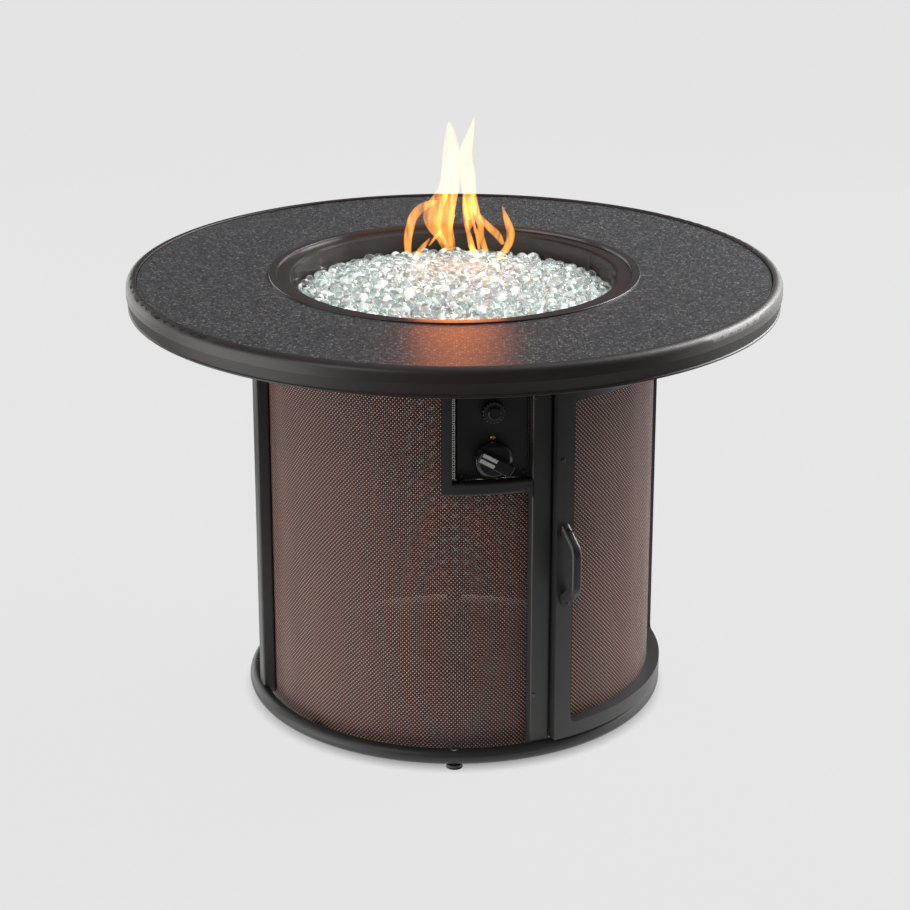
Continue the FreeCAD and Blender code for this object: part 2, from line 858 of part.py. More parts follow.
def bent_path(start, corner, end, bend, side):
    """Two straight runs and a tangent arc in an upright plane; points are (distance, height)."""
    points = [spot(plate_angle, distance, height, side)
              for distance, height in (start, corner, end)]
    centre, first, last, unused = corner_arc(points[0], points[1], points[2], float(bend))
    middle = centre + (points[1] - centre).normalize() * float(bend)
    edges = [Part.LineSegment(points[0], first).toShape(),
             Part.Arc(first, middle, last).toShape(),
             Part.LineSegment(last, points[2]).toShape()]
    return Part.Wire(edges)


def make_tube(label, path, radius, wall=None):
    """Round tube or wire along a path."""
    start = path.Vertexes[0].Point
    ahead = path.Edges[0].tangentAt(path.Edges[0].FirstParameter)

    def sweep(round_radius):
        ring = Part.Wire(Part.makeCircle(float(round_radius), start, ahead))
        return path.makePipeShell([ring], True, False)

    tube = sweep(radius)
    if wall is not None:
        tube = tube.cut(sweep(radius - wall))
    return solid_group(label, [tube])


def mound():
    """Edge radius, crown height and dome radius of the ground that the upper beads lie on."""
    outside = pan_inner_radius - size.glass_clearance
    crown = glass_crown - size.bead_radius * 1.2
    rise = size.glass_crown_rise
    return outside, crown, (outside * outside + rise * rise) / (rise * 2)


def bead_places():
    """Where the upper beads lie: a sunflower spiral, each bead a little shaken and tilted."""
    outside, crown, dome_radius = (float(number) for number in mound())
    bead_radius = size.bead_radius.value
    step = size.bead_spacing.value * math.sqrt(math.sqrt(3) / (2 * math.pi))
    shake = size.bead_spacing.value * 0.08
    reach = outside - bead_radius * 1.2 - shake
    golden_turn = math.pi * (3 - math.sqrt(5))
    electrode = electrode_place(0).Base
    electrode_room = (size.electrode_radius + size.glass_clearance).value + bead_radius * 1.2
    places = []
    for index in range(1, int((reach / step) ** 2)):
        radius = step * math.sqrt(index)
        across = radius * math.cos(index * golden_turn) + shake * math.sin(index * 7.3)
        along = radius * math.sin(index * golden_turn) + shake * math.sin(index * 5.1)
        drop = dome_radius - math.sqrt(dome_radius ** 2 - radius ** 2)
        height = crown - drop + bead_radius * (0.2 + 0.15 * math.sin(index))
        lean = Rotation(Vector(math.cos(index * 2.1), math.sin(index * 2.1), 0),
                        size.bead_tilt.value * math.sin(index * 2.3))
        if math.hypot(across - electrode.x, along - electrode.y) > electrode_room:
            places.append(Placement(Vector(across, along, height), lean))
    return places


def make_bead(place, radius):
    """Glass bead with flat facets round its own middle."""
    sides = int(size.bead_side_count.value)
    rings = []
    for share, lift in ((0.85, -0.6), (1, 0.1), (0.6, 0.8)):
        rings.append([Vector(radius * share * math.cos(math.tau * side / sides),
                             radius * share * math.sin(math.tau * side / sides),
                             radius * lift) for side in range(sides)])
    outlines = [rings[0][::-1], rings[-1]]
    for below, above in zip(rings, rings[1:]):
        outlines += [[below[side - 1], below[side], above[side], above[side - 1]]
                     for side in range(sides)]
    faces = [Part.Face(Part.makePolygon(outline + outline[:1])) for outline in outlines]
    solid = Part.Solid(Part.Shell(faces))
    solid.Placement = place
    return solid


def make_glass():
    """Bed of glass: a dome of beads, with room for the burner and the electrode."""
    outside, crown, dome_radius = mound()
    low = pan_floor_top + size.glass_clearance
    blank = new_body("glass_blank")
    add_ring(blank, [(0, low), (outside, low, size.pan_corner + size.glass_clearance),
                     (outside, crown), (0, crown)])
    dome = doc.addObject("Part::Sphere", "glass_dome")
    bind(dome, "Radius", dome_radius)
    dome.Placement = level(crown - dome_radius)
    ground = doc.addObject("Part::Common", "glass_ground")
    ground.Base = blank
    ground.Tool = dome
    margin = size.glass_clearance
    tools = burner_pieces("glass_room", margin)
    tools.append(add_cylinder("electrode_room", size.electrode_radius + margin,
                              size.electrode_height + margin, electrode_place(pan_floor_top)))
    hollowed = cut_away("glass_hollowed", ground, tools)
    doc.recompute()
    beads = []
    for index, place in enumerate(bead_places()):
        beads.append(make_bead(place, size.bead_radius.value * (1 + 0.1 * math.sin(index * 3.7))))
    bed = doc.addObject("Part::Feature", "glass_bed")
    bed.Shape = hollowed.Shape.multiFuse(beads)
    bed.Label = "glass_bed"
    return [bed]


def make_spark():
    """Electrode with its wire tip, the bracket under the pan and the lead to the igniter."""
    tip = size.electrode_tip_length
    rod_length = size.electrode_height - tip
    foot = size.electrode_foot
    bottom = pan_floor_top - foot
    rod = add_cylinder("electrode_rod", size.electrode_radius, rod_length + foot,
                       electrode_place(bottom))
    wire = add_cylinder("electrode_wire", size.electrode_tip_radius, rod_length + foot + tip,
                        electrode_place(bottom))
    electrode = fuse("spark_electrode", [rod, wire])
    bracket = new_body("electrode_bracket")
    half_width = size.bracket_width / 2
    half_depth = size.bracket_depth / 2
    thick = size.bracket_thickness
    bracket_top = pan_floor - size.bolt_clearance
    add_pad(bracket, "XY_Plane",
            box_outline(-half_width, half_width, -half_depth, half_depth, size.post_corner),
            thick, lift=bracket_top - thick)
    add_pad(bracket, "XY_Plane", (0, 0, size.electrode_radius + size.thread_clearance), thick,
            lift=bracket_top, cut=True)
    bracket.Placement = electrode_place(0)
    rear = plate_radius - size.igniter_back - size.bolt_clearance
    path = bent_path((rear, igniter_height), (electrode_distance, igniter_height),
                     (electrode_distance, bottom - size.bolt_clearance),
                     size.lead_bend_radius, size.electrode_side)
    return [electrode, bracket, make_tube("spark_lead", path, size.lead_radius)]


def post_angles():
    """Name and compass angle of each post."""
    return [("left_post", size.left_post_angle), ("front_post", size.front_post_angle),
            ("hinge_post", size.hinge_post_angle), ("rear_post", size.rear_post_angle)]


def foot_angles():
    """Compass angles of the four feet."""
    return [90 * index for index in range(4)]


def make_base():
    """Bottom ring, top ring, posts and tank tray."""
    return [make_bottom_ring(), make_top_ring()] + make_posts() + make_tray()


def make_bottom_ring():
    """Hollow round tube bent to a ring, with holes for the bushes and the pivot pin."""
    outside = add_torus("ring_outside", base_ring_radius, size.base_tube_radius, ring_height)
    inside = add_torus("ring_inside", base_ring_radius,
                       size.base_tube_radius - size.base_tube_wall, ring_height)
    tools = [inside]
    for angle in foot_angles():
        tools.append(add_cylinder("bush_cut", size.bush_radius + size.thread_clearance,
                                  size.base_tube_radius * 2.4,
                                  upright_at(angle, foot_circle(), ring_height
                                             - size.base_tube_radius * 1.2)))
    pin_hole = size.pivot_pin_radius + size.thread_clearance
    tools.append(add_cylinder("pin_cut", pin_hole, size.base_tube_radius * 1.2,
                              pivot_place(ring_height)))
    return cut_away("base_ring", outside, tools)


def foot_circle():
    """Radius at which the feet stand."""
    return base_ring_radius - size.foot_inset


def make_top_ring():
    """Rectangular tube ring on top of the posts, drilled for the top bolts."""
    blank = new_body("top_ring_blank")
    wall = size.top_ring_wall
    add_ring(blank, box_outline(post_inner_radius, size.post_outer_radius,
                                top_ring_bottom, size.base_height))
    inside = new_body("top_ring_inside")
    add_ring(inside, box_outline(post_inner_radius + wall, size.post_outer_radius - wall,
                                 top_ring_bottom + wall, size.base_height - wall))
    tools = [inside]
    for angle in channel_angles():
        for side, depth in bolt_spots():
            tools.append(add_cylinder("bolt_cut", size.top_bolt_radius + size.bolt_clearance,
                                      wall * 2,
                                      upright_at(angle, depth, size.base_height - wall, side)))
    return cut_away("top_ring", blank, tools)


def make_posts():
    """Rectangular tube posts, coped over the bottom ring."""
    made = []
    half = size.post_width / 2
    wall = size.post_wall
    outer = -size.post_outer_radius
    inner = -post_inner_radius
    length = top_ring_bottom - ring_height
    for label, angle in post_angles():
        post = new_body(label + "_blank")
        add_pad(post, "XY_Plane", box_outline(-half, half, outer, inner, size.post_corner),
                length, lift=ring_height)
        add_pad(post, "XY_Plane",
                box_outline(-half + wall, half - wall, outer + wall, inner - wall),
                length, lift=top_ring_bottom, cut=True)
        if label == "front_post":
            for height in mesh_screw_heights():
                add_pad(post, "XZ_Plane", (-size.mesh_screw_side, height, screw_hole()),
                        size.post_outer_radius * 1.1, cut=True, backwards=True)
        post.Placement = turned(angle)
        cope = add_torus(label + "_cope", base_ring_radius,
                         size.base_tube_radius + size.thread_clearance, ring_height)
        made.append(cut_away(label, post, [cope]))
    return made


def mesh_screw_heights():
    """Heights of the mesh screws on the front post."""
    return [size.mesh_screw_low, top_ring_bottom - size.mesh_screw_drop]


def screw_hole():
    """Radius of the hole for a small screw."""
    return size.small_screw_radius + size.bolt_clearance


def make_tray():
    """Crossed flat bars under the gas cylinder, and the hoop that locates its foot."""
    half = size.tray_bar_width / 2
    thick = size.tray_bar_thickness
    lowest = ring_height - size.tray_height
    ring_inside = base_ring_radius - root(size.base_tube_radius * size.base_tube_radius
                                          - (lowest - thick) * (lowest - thick))
    reach = root(ring_inside * ring_inside - half * half) - size.tray_end_clearance
    bars = []
    for turn, start in ((0, -reach), (90, half), (-90, half)):
        bar = Part.makeBox(float(reach - start), float(half * 2), float(thick),
                           Vector(float(start), -float(half), size.tray_height.value))
        bar.Placement = Placement(Vector(), turned(size.tray_angle + turn).Rotation).multiply(
            bar.Placement)
        bars.append(bar)
    hoop = new_body("tray_hoop")
    low = size.tray_height + thick
    add_ring(hoop, box_outline(size.hoop_radius, size.hoop_radius + size.hoop_wall,
                               low, low + size.hoop_height))
    return [solid_group("tray_bars", bars), hoop]


def make_feet():
    """Threaded bushes in the bottom ring and a levelling foot in each."""
    bushes = []
    feet = []
    low = size.foot_pad_thickness + size.foot_clearance
    bore = size.foot_stud_radius + size.running_clearance
    for number, angle in enumerate(foot_angles(), start=1):
        place = spot(angle, foot_circle(), low)
        height = size.base_tube_radius.value * 2
        bushes.append(Part.makeCylinder(size.bush_radius.value, height, place).cut(
            Part.makeCylinder(bore.value, height * 3, place - Vector(0, 0, height))))
        foot = new_body("foot_%d" % number)
        add_pad(foot, "XY_Plane", (0, 0, size.foot_pad_radius), size.foot_pad_thickness)
        add_pad(foot, "XY_Plane", (0, 0, size.foot_stud_radius), size.foot_stud_length,
                lift=size.foot_pad_thickness)
        foot.Placement = upright_at(angle, foot_circle(), 0)
        feet.append(foot)
    return [solid_group("foot_bushes", bushes)] + feet


def mesh_skin(label, start, end, inner, outer, low, high):
    """Curved sheet of mesh between two compass angles."""
    skin = new_body(label)
    add_ring(skin, box_outline(inner, outer, low, high), (start + end) / 2, end - start)
    return skin


def make_mesh_skins():
    """Three fixed skins behind the posts; the front one is cut away for the control panel."""
    joint = degrees_at(size.mesh_joint_gap, mesh_outer_radius)
    low = size.tray_height + size.tray_bar_thickness + size.mesh_clearance
    high = size.base_height - size.mesh_clearance
    skins = []
    turns = as_size(360)
    spans = [("right_rear_mesh", size.hinge_post_angle, size.rear_post_angle),
             ("left_rear_mesh", size.rear_post_angle, size.left_post_angle + turns),
             ("front_mesh", size.left_post_angle, size.front_post_angle)]
    for label, start, end in spans:
        skins.append(mesh_skin(label, start + joint / 2, end - joint / 2,
                               mesh_inner_radius, mesh_outer_radius, low, high))
    front = skins[-1]
    window_start = panel_left_angle + degrees_at(size.panel_bar_width, mesh_outer_radius) / 2
    window_end = size.front_post_angle
    sill = panel_bottom + size.panel_bar_height / 2
    add_ring(front, box_outline(mesh_inner_radius - 1, mesh_outer_radius + 1,
                                sill, size.base_height),
             (window_start + window_end) / 2, window_end - window_start, cut=True)
    return skins


def make_control_panel():
    """Raised frame bar with lugs, recessed plate and its screws."""
    inner = post_inner_radius
    outer = size.post_outer_radius
    end = size.front_post_angle
    start = panel_left_angle
    bar_span = degrees_at(size.panel_bar_width, outer)
    frame = new_body("panel_frame_blank")
    add_ring(frame, box_outline(inner, outer, panel_bottom, panel_sill, size.post_corner),
             (start + end) / 2, end - start)
    add_ring(frame, box_outline(inner, outer, panel_bottom, top_ring_bottom, size.post_corner),
             start + bar_span / 2, bar_span)
    lugs = []
    for side in lug_sides():
        lug = new_body("panel_lug")
        half = size.lug_width / 2
        face = plate_back - size.lug_gap
        base = panel_sill - size.lug_thickness
        add_pad(lug, "XZ_Plane",
                box_outline(side - half, side + half, base, panel_sill + size.lug_height),
                size.lug_thickness, lift=face - size.lug_thickness)
        add_pad(lug, "XZ_Plane", (side, panel_sill + size.panel_screw_lift, screw_hole()),
                plate_radius, cut=True, backwards=True)
        lug.Placement = turned(plate_angle)
        lugs.append(lug)
    welded = fuse("panel_frame_blank", [frame, make_gusset(inner)] + lugs)
    room = new_body("panel_post_room")
    half = size.post_width / 2 + size.panel_joint_gap
    add_pad(room, "XY_Plane", box_outline(-half, half, -outer * 1.1, -inner * 0.9),
            top_ring_bottom, lift=0)
    room.Placement = turned(size.front_post_angle)
    return [cut_away("panel_frame", welded, [room]), make_plate()]


def make_gusset(inner):
    """Rounded inside corner between the bottom bar and the front post."""
    gusset = new_body("panel_gusset")
    side = -size.post_width / 2
    left = side - size.panel_gusset
    low = panel_bottom - size.panel_gusset
    high = panel_bottom + size.panel_bar_height / 2
    add_pad(gusset, "XZ_Plane", [
        (side, high), (side, low), (side - size.panel_joint_gap * 2, low),
        (side - size.panel_joint_gap * 2, panel_bottom, size.panel_gusset * 0.9),
        (left, panel_bottom), (left, high)], size.post_depth, lift=inner)
    gusset.Placement = turned(size.front_post_angle)
    return gusset


def lug_sides():
    """Sideways places of the two lugs and their screws."""
    reach = size.plate_width / 2 - size.plate_thickness - size.plate_gap - size.lug_width / 2
    return [-reach, reach]


def make_plate():
    """Flat plate with flanged sides, drilled for valve, igniter and screws."""
    half = size.plate_width / 2
    thick = size.plate_thickness
    low = panel_sill + size.plate_gap
    high = top_ring_bottom - size.plate_gap
    plate = new_body("control_plate")
    add_pad(plate, "XZ_Plane", box_outline(-half, half, low, high), thick + size.plate_flange,
            lift=plate_back - size.plate_flange)
    add_pad(plate, "XZ_Plane", box_outline(-half + thick, half - thick, low - 1, high + 1),
            size.plate_flange + 1, lift=plate_back, cut=True)
    round_edges(plate, thick, lambda edge: is_upright(edge)
                and edge.Vertexes[0].Point.y < -plate_radius.value + 0.01)
    holes = [(0, knob_height, size.valve_neck_radius + size.hole_clearance),
             (0, igniter_height, size.igniter_radius + size.hole_clearance),
             (0, centre_screw_height, screw_hole())]
    holes += [(side, panel_sill + size.panel_screw_lift, screw_hole()) for side in lug_sides()]
    for hole in holes:
        add_pad(plate, "XZ_Plane", hole, plate_radius * 2, cut=True, symmetric=True)
    plate.Placement = turned(plate_angle)
    return plate


def screw(angle, distance, height, side, length, head=None, head_height=None):
    """Domed-head screw driven inwards; distance is the seat of its head."""
    seat = spot(angle, distance, height, side)
    outward = turned(angle).Rotation.multVec(Vector(0, -1, 0))
    body = Part.makeCylinder(size.small_screw_radius.value, float(length), seat, -outward)
    head = float(head or size.small_screw_head)
    tall = float(head_height or size.small_screw_head_height)
    cap = Part.makeCylinder(head, tall, seat, outward)
    rim = [edge for edge in cap.Edges if edge.Curve.TypeId == "Part::GeomCircle"
           and (edge.Curve.Center - seat).Length > tall / 2]
    return cap.makeFillet(tall * 0.6, rim).fuse(body)


def make_screws():
    """Small screws of the control plate and the mesh, and the brass one between the controls."""
    plate_grip = size.plate_thickness + size.lug_gap + size.lug_thickness * 2
    seat = plate_radius + size.lug_gap
    screws = [screw(plate_angle, seat, panel_sill + size.panel_screw_lift, side, plate_grip)
              for side in lug_sides()]
    screws += [screw(size.front_post_angle, size.post_outer_radius + size.lug_gap, height,
                     -size.mesh_screw_side, size.post_depth) for height in mesh_screw_heights()]
    centre = screw(plate_angle, seat, centre_screw_height, 0, size.plate_flange,
                   size.centre_screw_head, size.centre_screw_head * 0.8)
    return [solid_group("small_screws", screws), solid_group("ground_screw", [centre])]


def make_valve():
    """Valve body with neck and stem bore, nut, stem, inlet fitting and outlet elbow."""
    back = size.plate_thickness + size.lug_gap
    neck = size.valve_neck_radius
    bore = size.stem_radius + size.running_clearance
    blind = -back - size.stem_depth + size.stem_reach
    bore_end = blind - size.knob_travel
    valve = new_body("valve_body")
    add_ring(valve, [
        (0, -back - size.valve_length), (size.valve_radius, -back - size.valve_length, 2),
        (size.valve_radius, -back, 1), (neck, -back), (neck, size.valve_neck_length),
        (bore, size.valve_neck_length), (bore, bore_end), (0, bore_end)])
    valve.Placement = facing(plate_angle, plate_radius, knob_height)
    nut = new_body("valve_nut")
    add_pad(nut, "XY_Plane", hexagon(size.valve_nut_radius), size.valve_nut_height,
            lift=size.lug_gap)
    add_pad(nut, "XY_Plane", (0, 0, neck + size.thread_clearance), size.valve_nut_height * 3,
            cut=True, symmetric=True)
    nut.Placement = valve.Placement
    stem = new_body("valve_stem")
    add_pad(stem, "XY_Plane", (0, 0, size.stem_radius), size.stem_depth, lift=blind)
    flat = size.stem_radius
    add_pad(stem, "XY_Plane", box_outline(flat * 0.6, flat * 2, -flat * 2, flat * 2),
            size.stem_reach - size.valve_neck_length - 1,
            lift=blind + size.stem_depth, cut=True)
    stem.Placement = facing(plate_angle, plate_radius, knob_height,
                            roll=size.knob_rest_turn)
    return [valve, nut, stem] + make_fittings()


def make_fittings():
    """Flared inlet under the valve and elbow behind it."""
    inlet = new_body("gas_inlet")
    top = knob_height - size.valve_radius - size.bolt_clearance
    hex_low = top - size.inlet_hex_height
    add_pad(inlet, "XY_Plane", hexagon(size.inlet_hex_radius), size.inlet_hex_height, lift=hex_low)
    add_pad(inlet, "XY_Plane", (0, 0, size.inlet_radius), size.inlet_length, lift=hex_low,
            backwards=True)
    add_pad(inlet, "XY_Plane", (0, 0, size.inlet_bore_radius),
            size.inlet_length + size.inlet_hex_height / 2, lift=hex_low - size.inlet_length,
            cut=True, backwards=True)
    inlet.Placement = upright_at(plate_angle, plate_radius - size.inlet_setback, 0)
    outlet = new_body("outlet_elbow")
    half = size.outlet_size / 2
    front = -(valve_rear_radius - size.bolt_clearance)
    add_pad(outlet, "XY_Plane",
            box_outline(-half, half, front, -supply_rise_radius + half, size.post_corner),
            size.outlet_size, lift=knob_height - half)
    outlet.Placement = turned(plate_angle)
    return [inlet, outlet]


def make_knob():
    """Round skirt with a raised grip bar, hollow behind to clear the nut, bored for the stem."""
    knob = new_body("gas_knob")
    low = size.knob_gap
    skirt = low + size.knob_skirt
    dome = skirt + size.knob_dome
    top = low + size.knob_depth
    add_ring(knob, [(0, low), (size.knob_radius, low), (size.knob_radius, skirt, 2),
                    (size.knob_radius * 0.8, dome, 2), (0, dome)])
    half = size.knob_bar_width / 2
    reach = size.knob_radius
    add_pad(knob, "XY_Plane", box_outline(-half, half, -reach, reach, 3), top - low, lift=low)
    round_edges(knob, 1.5, lambda edge: edge.BoundBox.ZMin > (top - 0.01).value)
    add_pad(knob, "XY_Plane", (0, 0, size.knob_hollow_radius), size.knob_hollow_depth,
            lift=low, cut=True, backwards=True)
    add_pad(knob, "XY_Plane", (0, 0, size.stem_radius + size.running_clearance),
            size.stem_reach - size.knob_gap + size.knob_travel + size.knob_end_gap,
            lift=low, cut=True, backwards=True)
    knob.Placement = facing(plate_angle, plate_radius, knob_height,
                            roll=size.knob_rest_turn)
    return [knob]


def make_igniter():
    """Igniter barrel with its cell, fluted collar and push button."""
    place = facing(plate_angle, plate_radius, igniter_height)
    back = -size.igniter_back
    front = size.igniter_front
    step = front - size.igniter_bore_depth
    rear_wall = back + size.igniter_end_wall
    barrel = new_body("igniter_barrel")
    add_ring(barrel, [
        (0, back), (size.igniter_radius, back), (size.igniter_radius, front, 0.5),
        (size.button_radius + size.running_clearance, front),
        (size.button_radius + size.running_clearance, step),
        (size.igniter_cell_bore_radius, step),
        (size.igniter_cell_bore_radius, rear_wall), (0, rear_wall)])
    cell = new_body("igniter_cell")
    add_ring(cell, [(0, rear_wall), (size.cell_radius, rear_wall, 0.5),
                    (size.cell_radius, rear_wall + size.cell_length, 0.5),
                    (0, rear_wall + size.cell_length)])
    collar = new_body("igniter_collar")
    seat = size.lug_gap
    add_ring(collar, [
        (size.igniter_radius + size.thread_clearance, seat), (size.collar_radius, seat),
        (size.collar_radius, seat + size.collar_height, 1.5),
        (size.igniter_radius + size.thread_clearance, seat + size.collar_height)])
    flute = add_pad(collar, "XY_Plane", (size.collar_radius, 0, size.collar_flute_radius),
                    size.collar_height * 2, lift=seat, cut=True, backwards=True)
    pattern = collar.newObject("PartDesign::PolarPattern", "flutes")
    pattern.Originals = [flute]
    pattern.Axis = (collar.Origin.OriginFeatures[2], [""])
    pattern.Angle = 360
    bind(pattern, "Occurrences", size.collar_flute_count)
    collar.Tip = pattern
    button = new_body("igniter_button")
    top = front + size.button_proud
    rear = step + size.button_travel + size.button_end_gap
    add_ring(button, [(0, rear), (size.button_radius, rear), (size.button_radius, top, 2),
                      (0, top)])
    for body in (barrel, cell, collar, button):
        body.Placement = place
    return [barrel, cell, collar, button]


def pivot_place(height):
    """Upright placement on the door's pivot."""
    return upright_at(pivot_angle, pivot_radius, height)


def make_door():
    """Curved door frame with its opening, mesh, handle and screws."""
    inner = door_inner_radius
    middle = (door_start_angle + door_end_angle) / 2
    span = door_end_angle - door_start_angle
    stile = degrees_at(size.door_stile, door_outer_radius)
    sill = door_bottom + size.door_bottom_rail
    frame = new_body("door_frame_blank")
    add_ring(frame, box_outline(inner, door_outer_radius, door_bottom, door_top), middle, span)
    add_ring(frame, box_outline(inner - 1, door_outer_radius + 1, sill, door_opening_top),
             middle, span - stile * 2, cut=True)
    low = sill.value
    high = door_opening_top.value

    def opening_corner(edge):
        ends = [vertex.Point.z for vertex in edge.Vertexes]
        level_edge = len(ends) == 2 and abs(ends[0] - ends[1]) < 0.01
        at_corner = min(abs(ends[0] - low), abs(ends[0] - high)) < 0.01
        return edge.Curve.TypeId == "Part::GeomLine" and level_edge and at_corner

    round_edges(frame, size.door_corner, opening_corner)
    pin_hole = size.pivot_pin_radius + size.running_clearance
    depth = size.pivot_pin_reach + size.pivot_pin_slack
    tools = [make_door_hollow(middle, span, stile, sill, depth),
             add_cylinder("low_pivot_cut", pin_hole, depth, pivot_place(door_bottom)),
             add_cylinder("high_pivot_cut", pin_hole, depth, pivot_place(door_top - depth))]
    for height in handle_screw_heights():
        tools.append(add_cylinder("handle_cut", size.handle_screw_radius + size.bolt_clearance,
                                  size.door_depth * 2,
                                  facing(handle_angle, inner - size.door_depth / 2, height)))
    tools.append(add_cylinder("catch_cut", screw_hole(), size.door_depth * 2,
                              facing(catch_angle, inner - size.door_depth / 2,
                                     size.catch_height)))
    door = cut_away("door_frame", frame, tools)
    lap = degrees_at(size.door_mesh_overlap, inner)
    outside = inner - size.mesh_clearance
    mesh = mesh_skin("door_mesh", door_start_angle + stile - lap,
                     door_end_angle - stile + lap, outside - size.mesh_thickness, outside,
                     sill - size.door_mesh_overlap, door_opening_top + size.door_mesh_overlap)
    return [door, mesh] + make_handle()


def make_door_hollow(middle, span, stile, sill, depth):
    """Inside of the door's tube frame, less the bosses round the pivot bores."""
    wall = size.door_wall
    inner = door_inner_radius + wall
    outer = door_outer_radius - wall
    edge = degrees_at(wall, inner)
    hollow = new_body("door_hollow_blank")
    add_ring(hollow, box_outline(inner, outer, door_bottom + wall, door_top - wall),
             middle, span - edge * 2)
    add_ring(hollow, box_outline(inner - 1, outer + 1, sill - wall, door_opening_top + wall),
             middle, span - stile * 2 + edge * 2, cut=True)
    boss = size.pivot_pin_radius + size.pivot_boss_wall
    return cut_away("door_hollow", hollow, [
        add_cylinder("low_boss", boss, depth + wall, pivot_place(door_bottom)),
        add_cylinder("high_boss", boss, depth + wall, pivot_place(door_top - depth - wall))])


def handle_screw_heights():
    """Heights of the two handle screws."""
    half_foot = size.handle_foot / 2
    return [size.handle_bottom + half_foot, size.handle_bottom + size.handle_height - half_foot]


def make_handle():
    """Bow handle with sloping legs, screwed on from inside the door."""
    seat = -(door_outer_radius + size.handle_seat_gap)
    outside = -(door_outer_radius + size.handle_standoff)
    inside = outside + size.handle_thickness
    low = size.handle_bottom
    high = low + size.handle_height
    slope = size.handle_slope
    foot = size.handle_foot
    inner_slope = slope + size.handle_thickness * 0.8
    handle = new_body("door_handle")
    add_pad(handle, "YZ_Plane", [
        (seat, low), (seat, low + foot), (inside, low + inner_slope, size.handle_round / 2),
        (inside, high - inner_slope, size.handle_round / 2), (seat, high - foot),
        (seat, high), (outside, high - slope, size.handle_round),
        (outside, low + slope, size.handle_round)], size.handle_width, symmetric=True)
    round_edges(handle, size.handle_edge_round,
                lambda edge: abs(abs(edge.CenterOfMass.x) - size.handle_width.value / 2) < 0.01
                and edge.CenterOfMass.y < (inside - size.handle_thickness / 2).value)
    for height in handle_screw_heights():
        add_pad(handle, "XZ_Plane", (0, height, size.handle_screw_radius + size.bolt_clearance),
                size.handle_screw_grip - size.handle_seat_gap, lift=-seat, cut=True,
                backwards=True)
    handle.Placement = turned(handle_angle)
    screws = []
    for height in handle_screw_heights():
        seat_point = door_inner_radius - size.catch_gap
        screws.append(inside_screw(seat_point, height))
    return [handle, solid_group("handle_screws", screws)]


def inside_screw(seat_distance, height):
    """Screw driven outwards through the door into the handle."""
    outward = turned(handle_angle).Rotation.multVec(Vector(0, -1, 0))
    seat = spot(handle_angle, seat_distance, height)
    length = size.door_depth + size.handle_screw_grip - 1
    head = Part.makeCylinder(size.handle_screw_head.value, size.handle_screw_head_height.value,
                             seat, -outward)
    return head.fuse(Part.makeCylinder(size.handle_screw_radius.value, length.value, seat, outward))


def make_pivots():
    """Pins that the door turns on, the bracket for the upper one and a washer under the door."""
    inside_tube = size.base_tube_radius - size.base_tube_wall
    offset = pivot_radius - base_ring_radius
    reach = offset + size.pivot_pin_radius
    socket = ring_height - root(inside_tube * inside_tube - reach * reach) + size.pivot_washer_gap
    tip = door_bottom + size.pivot_pin_reach
    low_pin = new_body("lower_pivot_pin")
    add_pad(low_pin, "XY_Plane", (0, 0, size.pivot_pin_radius), tip - socket, lift=socket)
    low_pin.Placement = pivot_place(0)
    washer = new_body("pivot_washer")
    washer_low = ring_top + size.bolt_clearance / 2
    thick = door_bottom - size.pivot_washer_gap - washer_low
    add_ring(washer, box_outline(size.pivot_pin_radius + size.bolt_clearance,
                                 size.pivot_washer_radius, washer_low, washer_low + thick))
    washer.Placement = pivot_place(0)
    bracket = new_body("upper_pivot_bracket")
    bracket_low = top_ring_bottom - size.pivot_bracket_thickness
    back = -(post_inner_radius + size.pivot_bracket_thickness)
    between = (size.hinge_post_angle - pivot_angle) / as_size(180) * Size("pi", math.pi) * -back
    half = between - size.post_width / 2 - size.pivot_bracket_gap
    front = -(pivot_radius + size.pivot_bracket_reach)
    add_pad(bracket, "XY_Plane", box_outline(-half, half, front, back, size.post_corner),
            size.pivot_bracket_thickness, lift=bracket_low)
    fit = size.pivot_pin_radius + size.thread_clearance
    add_pad(bracket, "XY_Plane", (0, -pivot_radius, fit), size.pivot_bracket_thickness,
            lift=top_ring_bottom, cut=True)
    bracket.Placement = turned(pivot_angle)
    high_pin = new_body("upper_pivot_pin")
    bottom = door_top - size.pivot_pin_reach
    add_pad(high_pin, "XY_Plane", (0, 0, size.pivot_pin_radius), top_ring_bottom + 2 - bottom,
            lift=bottom)
    high_pin.Placement = pivot_place(0)
    return [low_pin, washer, bracket, high_pin]


def make_catch():
    """Magnet on the front post, strike plate behind the door stile and its screw."""
    half = size.strike_height / 2
    width = size.strike_width / 2
    outer = root(door_inner_radius * door_inner_radius - width * width) - size.lug_gap
    strike = new_body("catch_strike")
    add_pad(strike, "XZ_Plane", box_outline(-width, width, size.catch_height - half,
                                            size.catch_height + half, 2),
            size.strike_thickness, lift=outer - size.strike_thickness)
    add_pad(strike, "XZ_Plane", (0, size.catch_height, screw_hole()), plate_radius * 3,
            cut=True, symmetric=True)
    strike.Placement = turned(catch_angle)
    magnet = new_body("catch_magnet")
    left = size.post_width / 2 + size.lug_gap
    right = left + size.magnet_width
    reach = outer - size.strike_thickness - size.catch_gap
    face = root(reach * reach - right * right)
    tall = size.magnet_height / 2
    add_pad(magnet, "XY_Plane", box_outline(left, right, -face, -face + size.magnet_depth, 1),
            size.magnet_height, lift=size.catch_height - tall)
    magnet.Placement = turned(size.front_post_angle)
    catch_screw = solid_group("catch_screw", [
        screw(catch_angle, door_outer_radius + size.lug_gap, size.catch_height, 0,
              size.door_depth + size.strike_thickness)])
    return [strike, magnet, catch_screw]


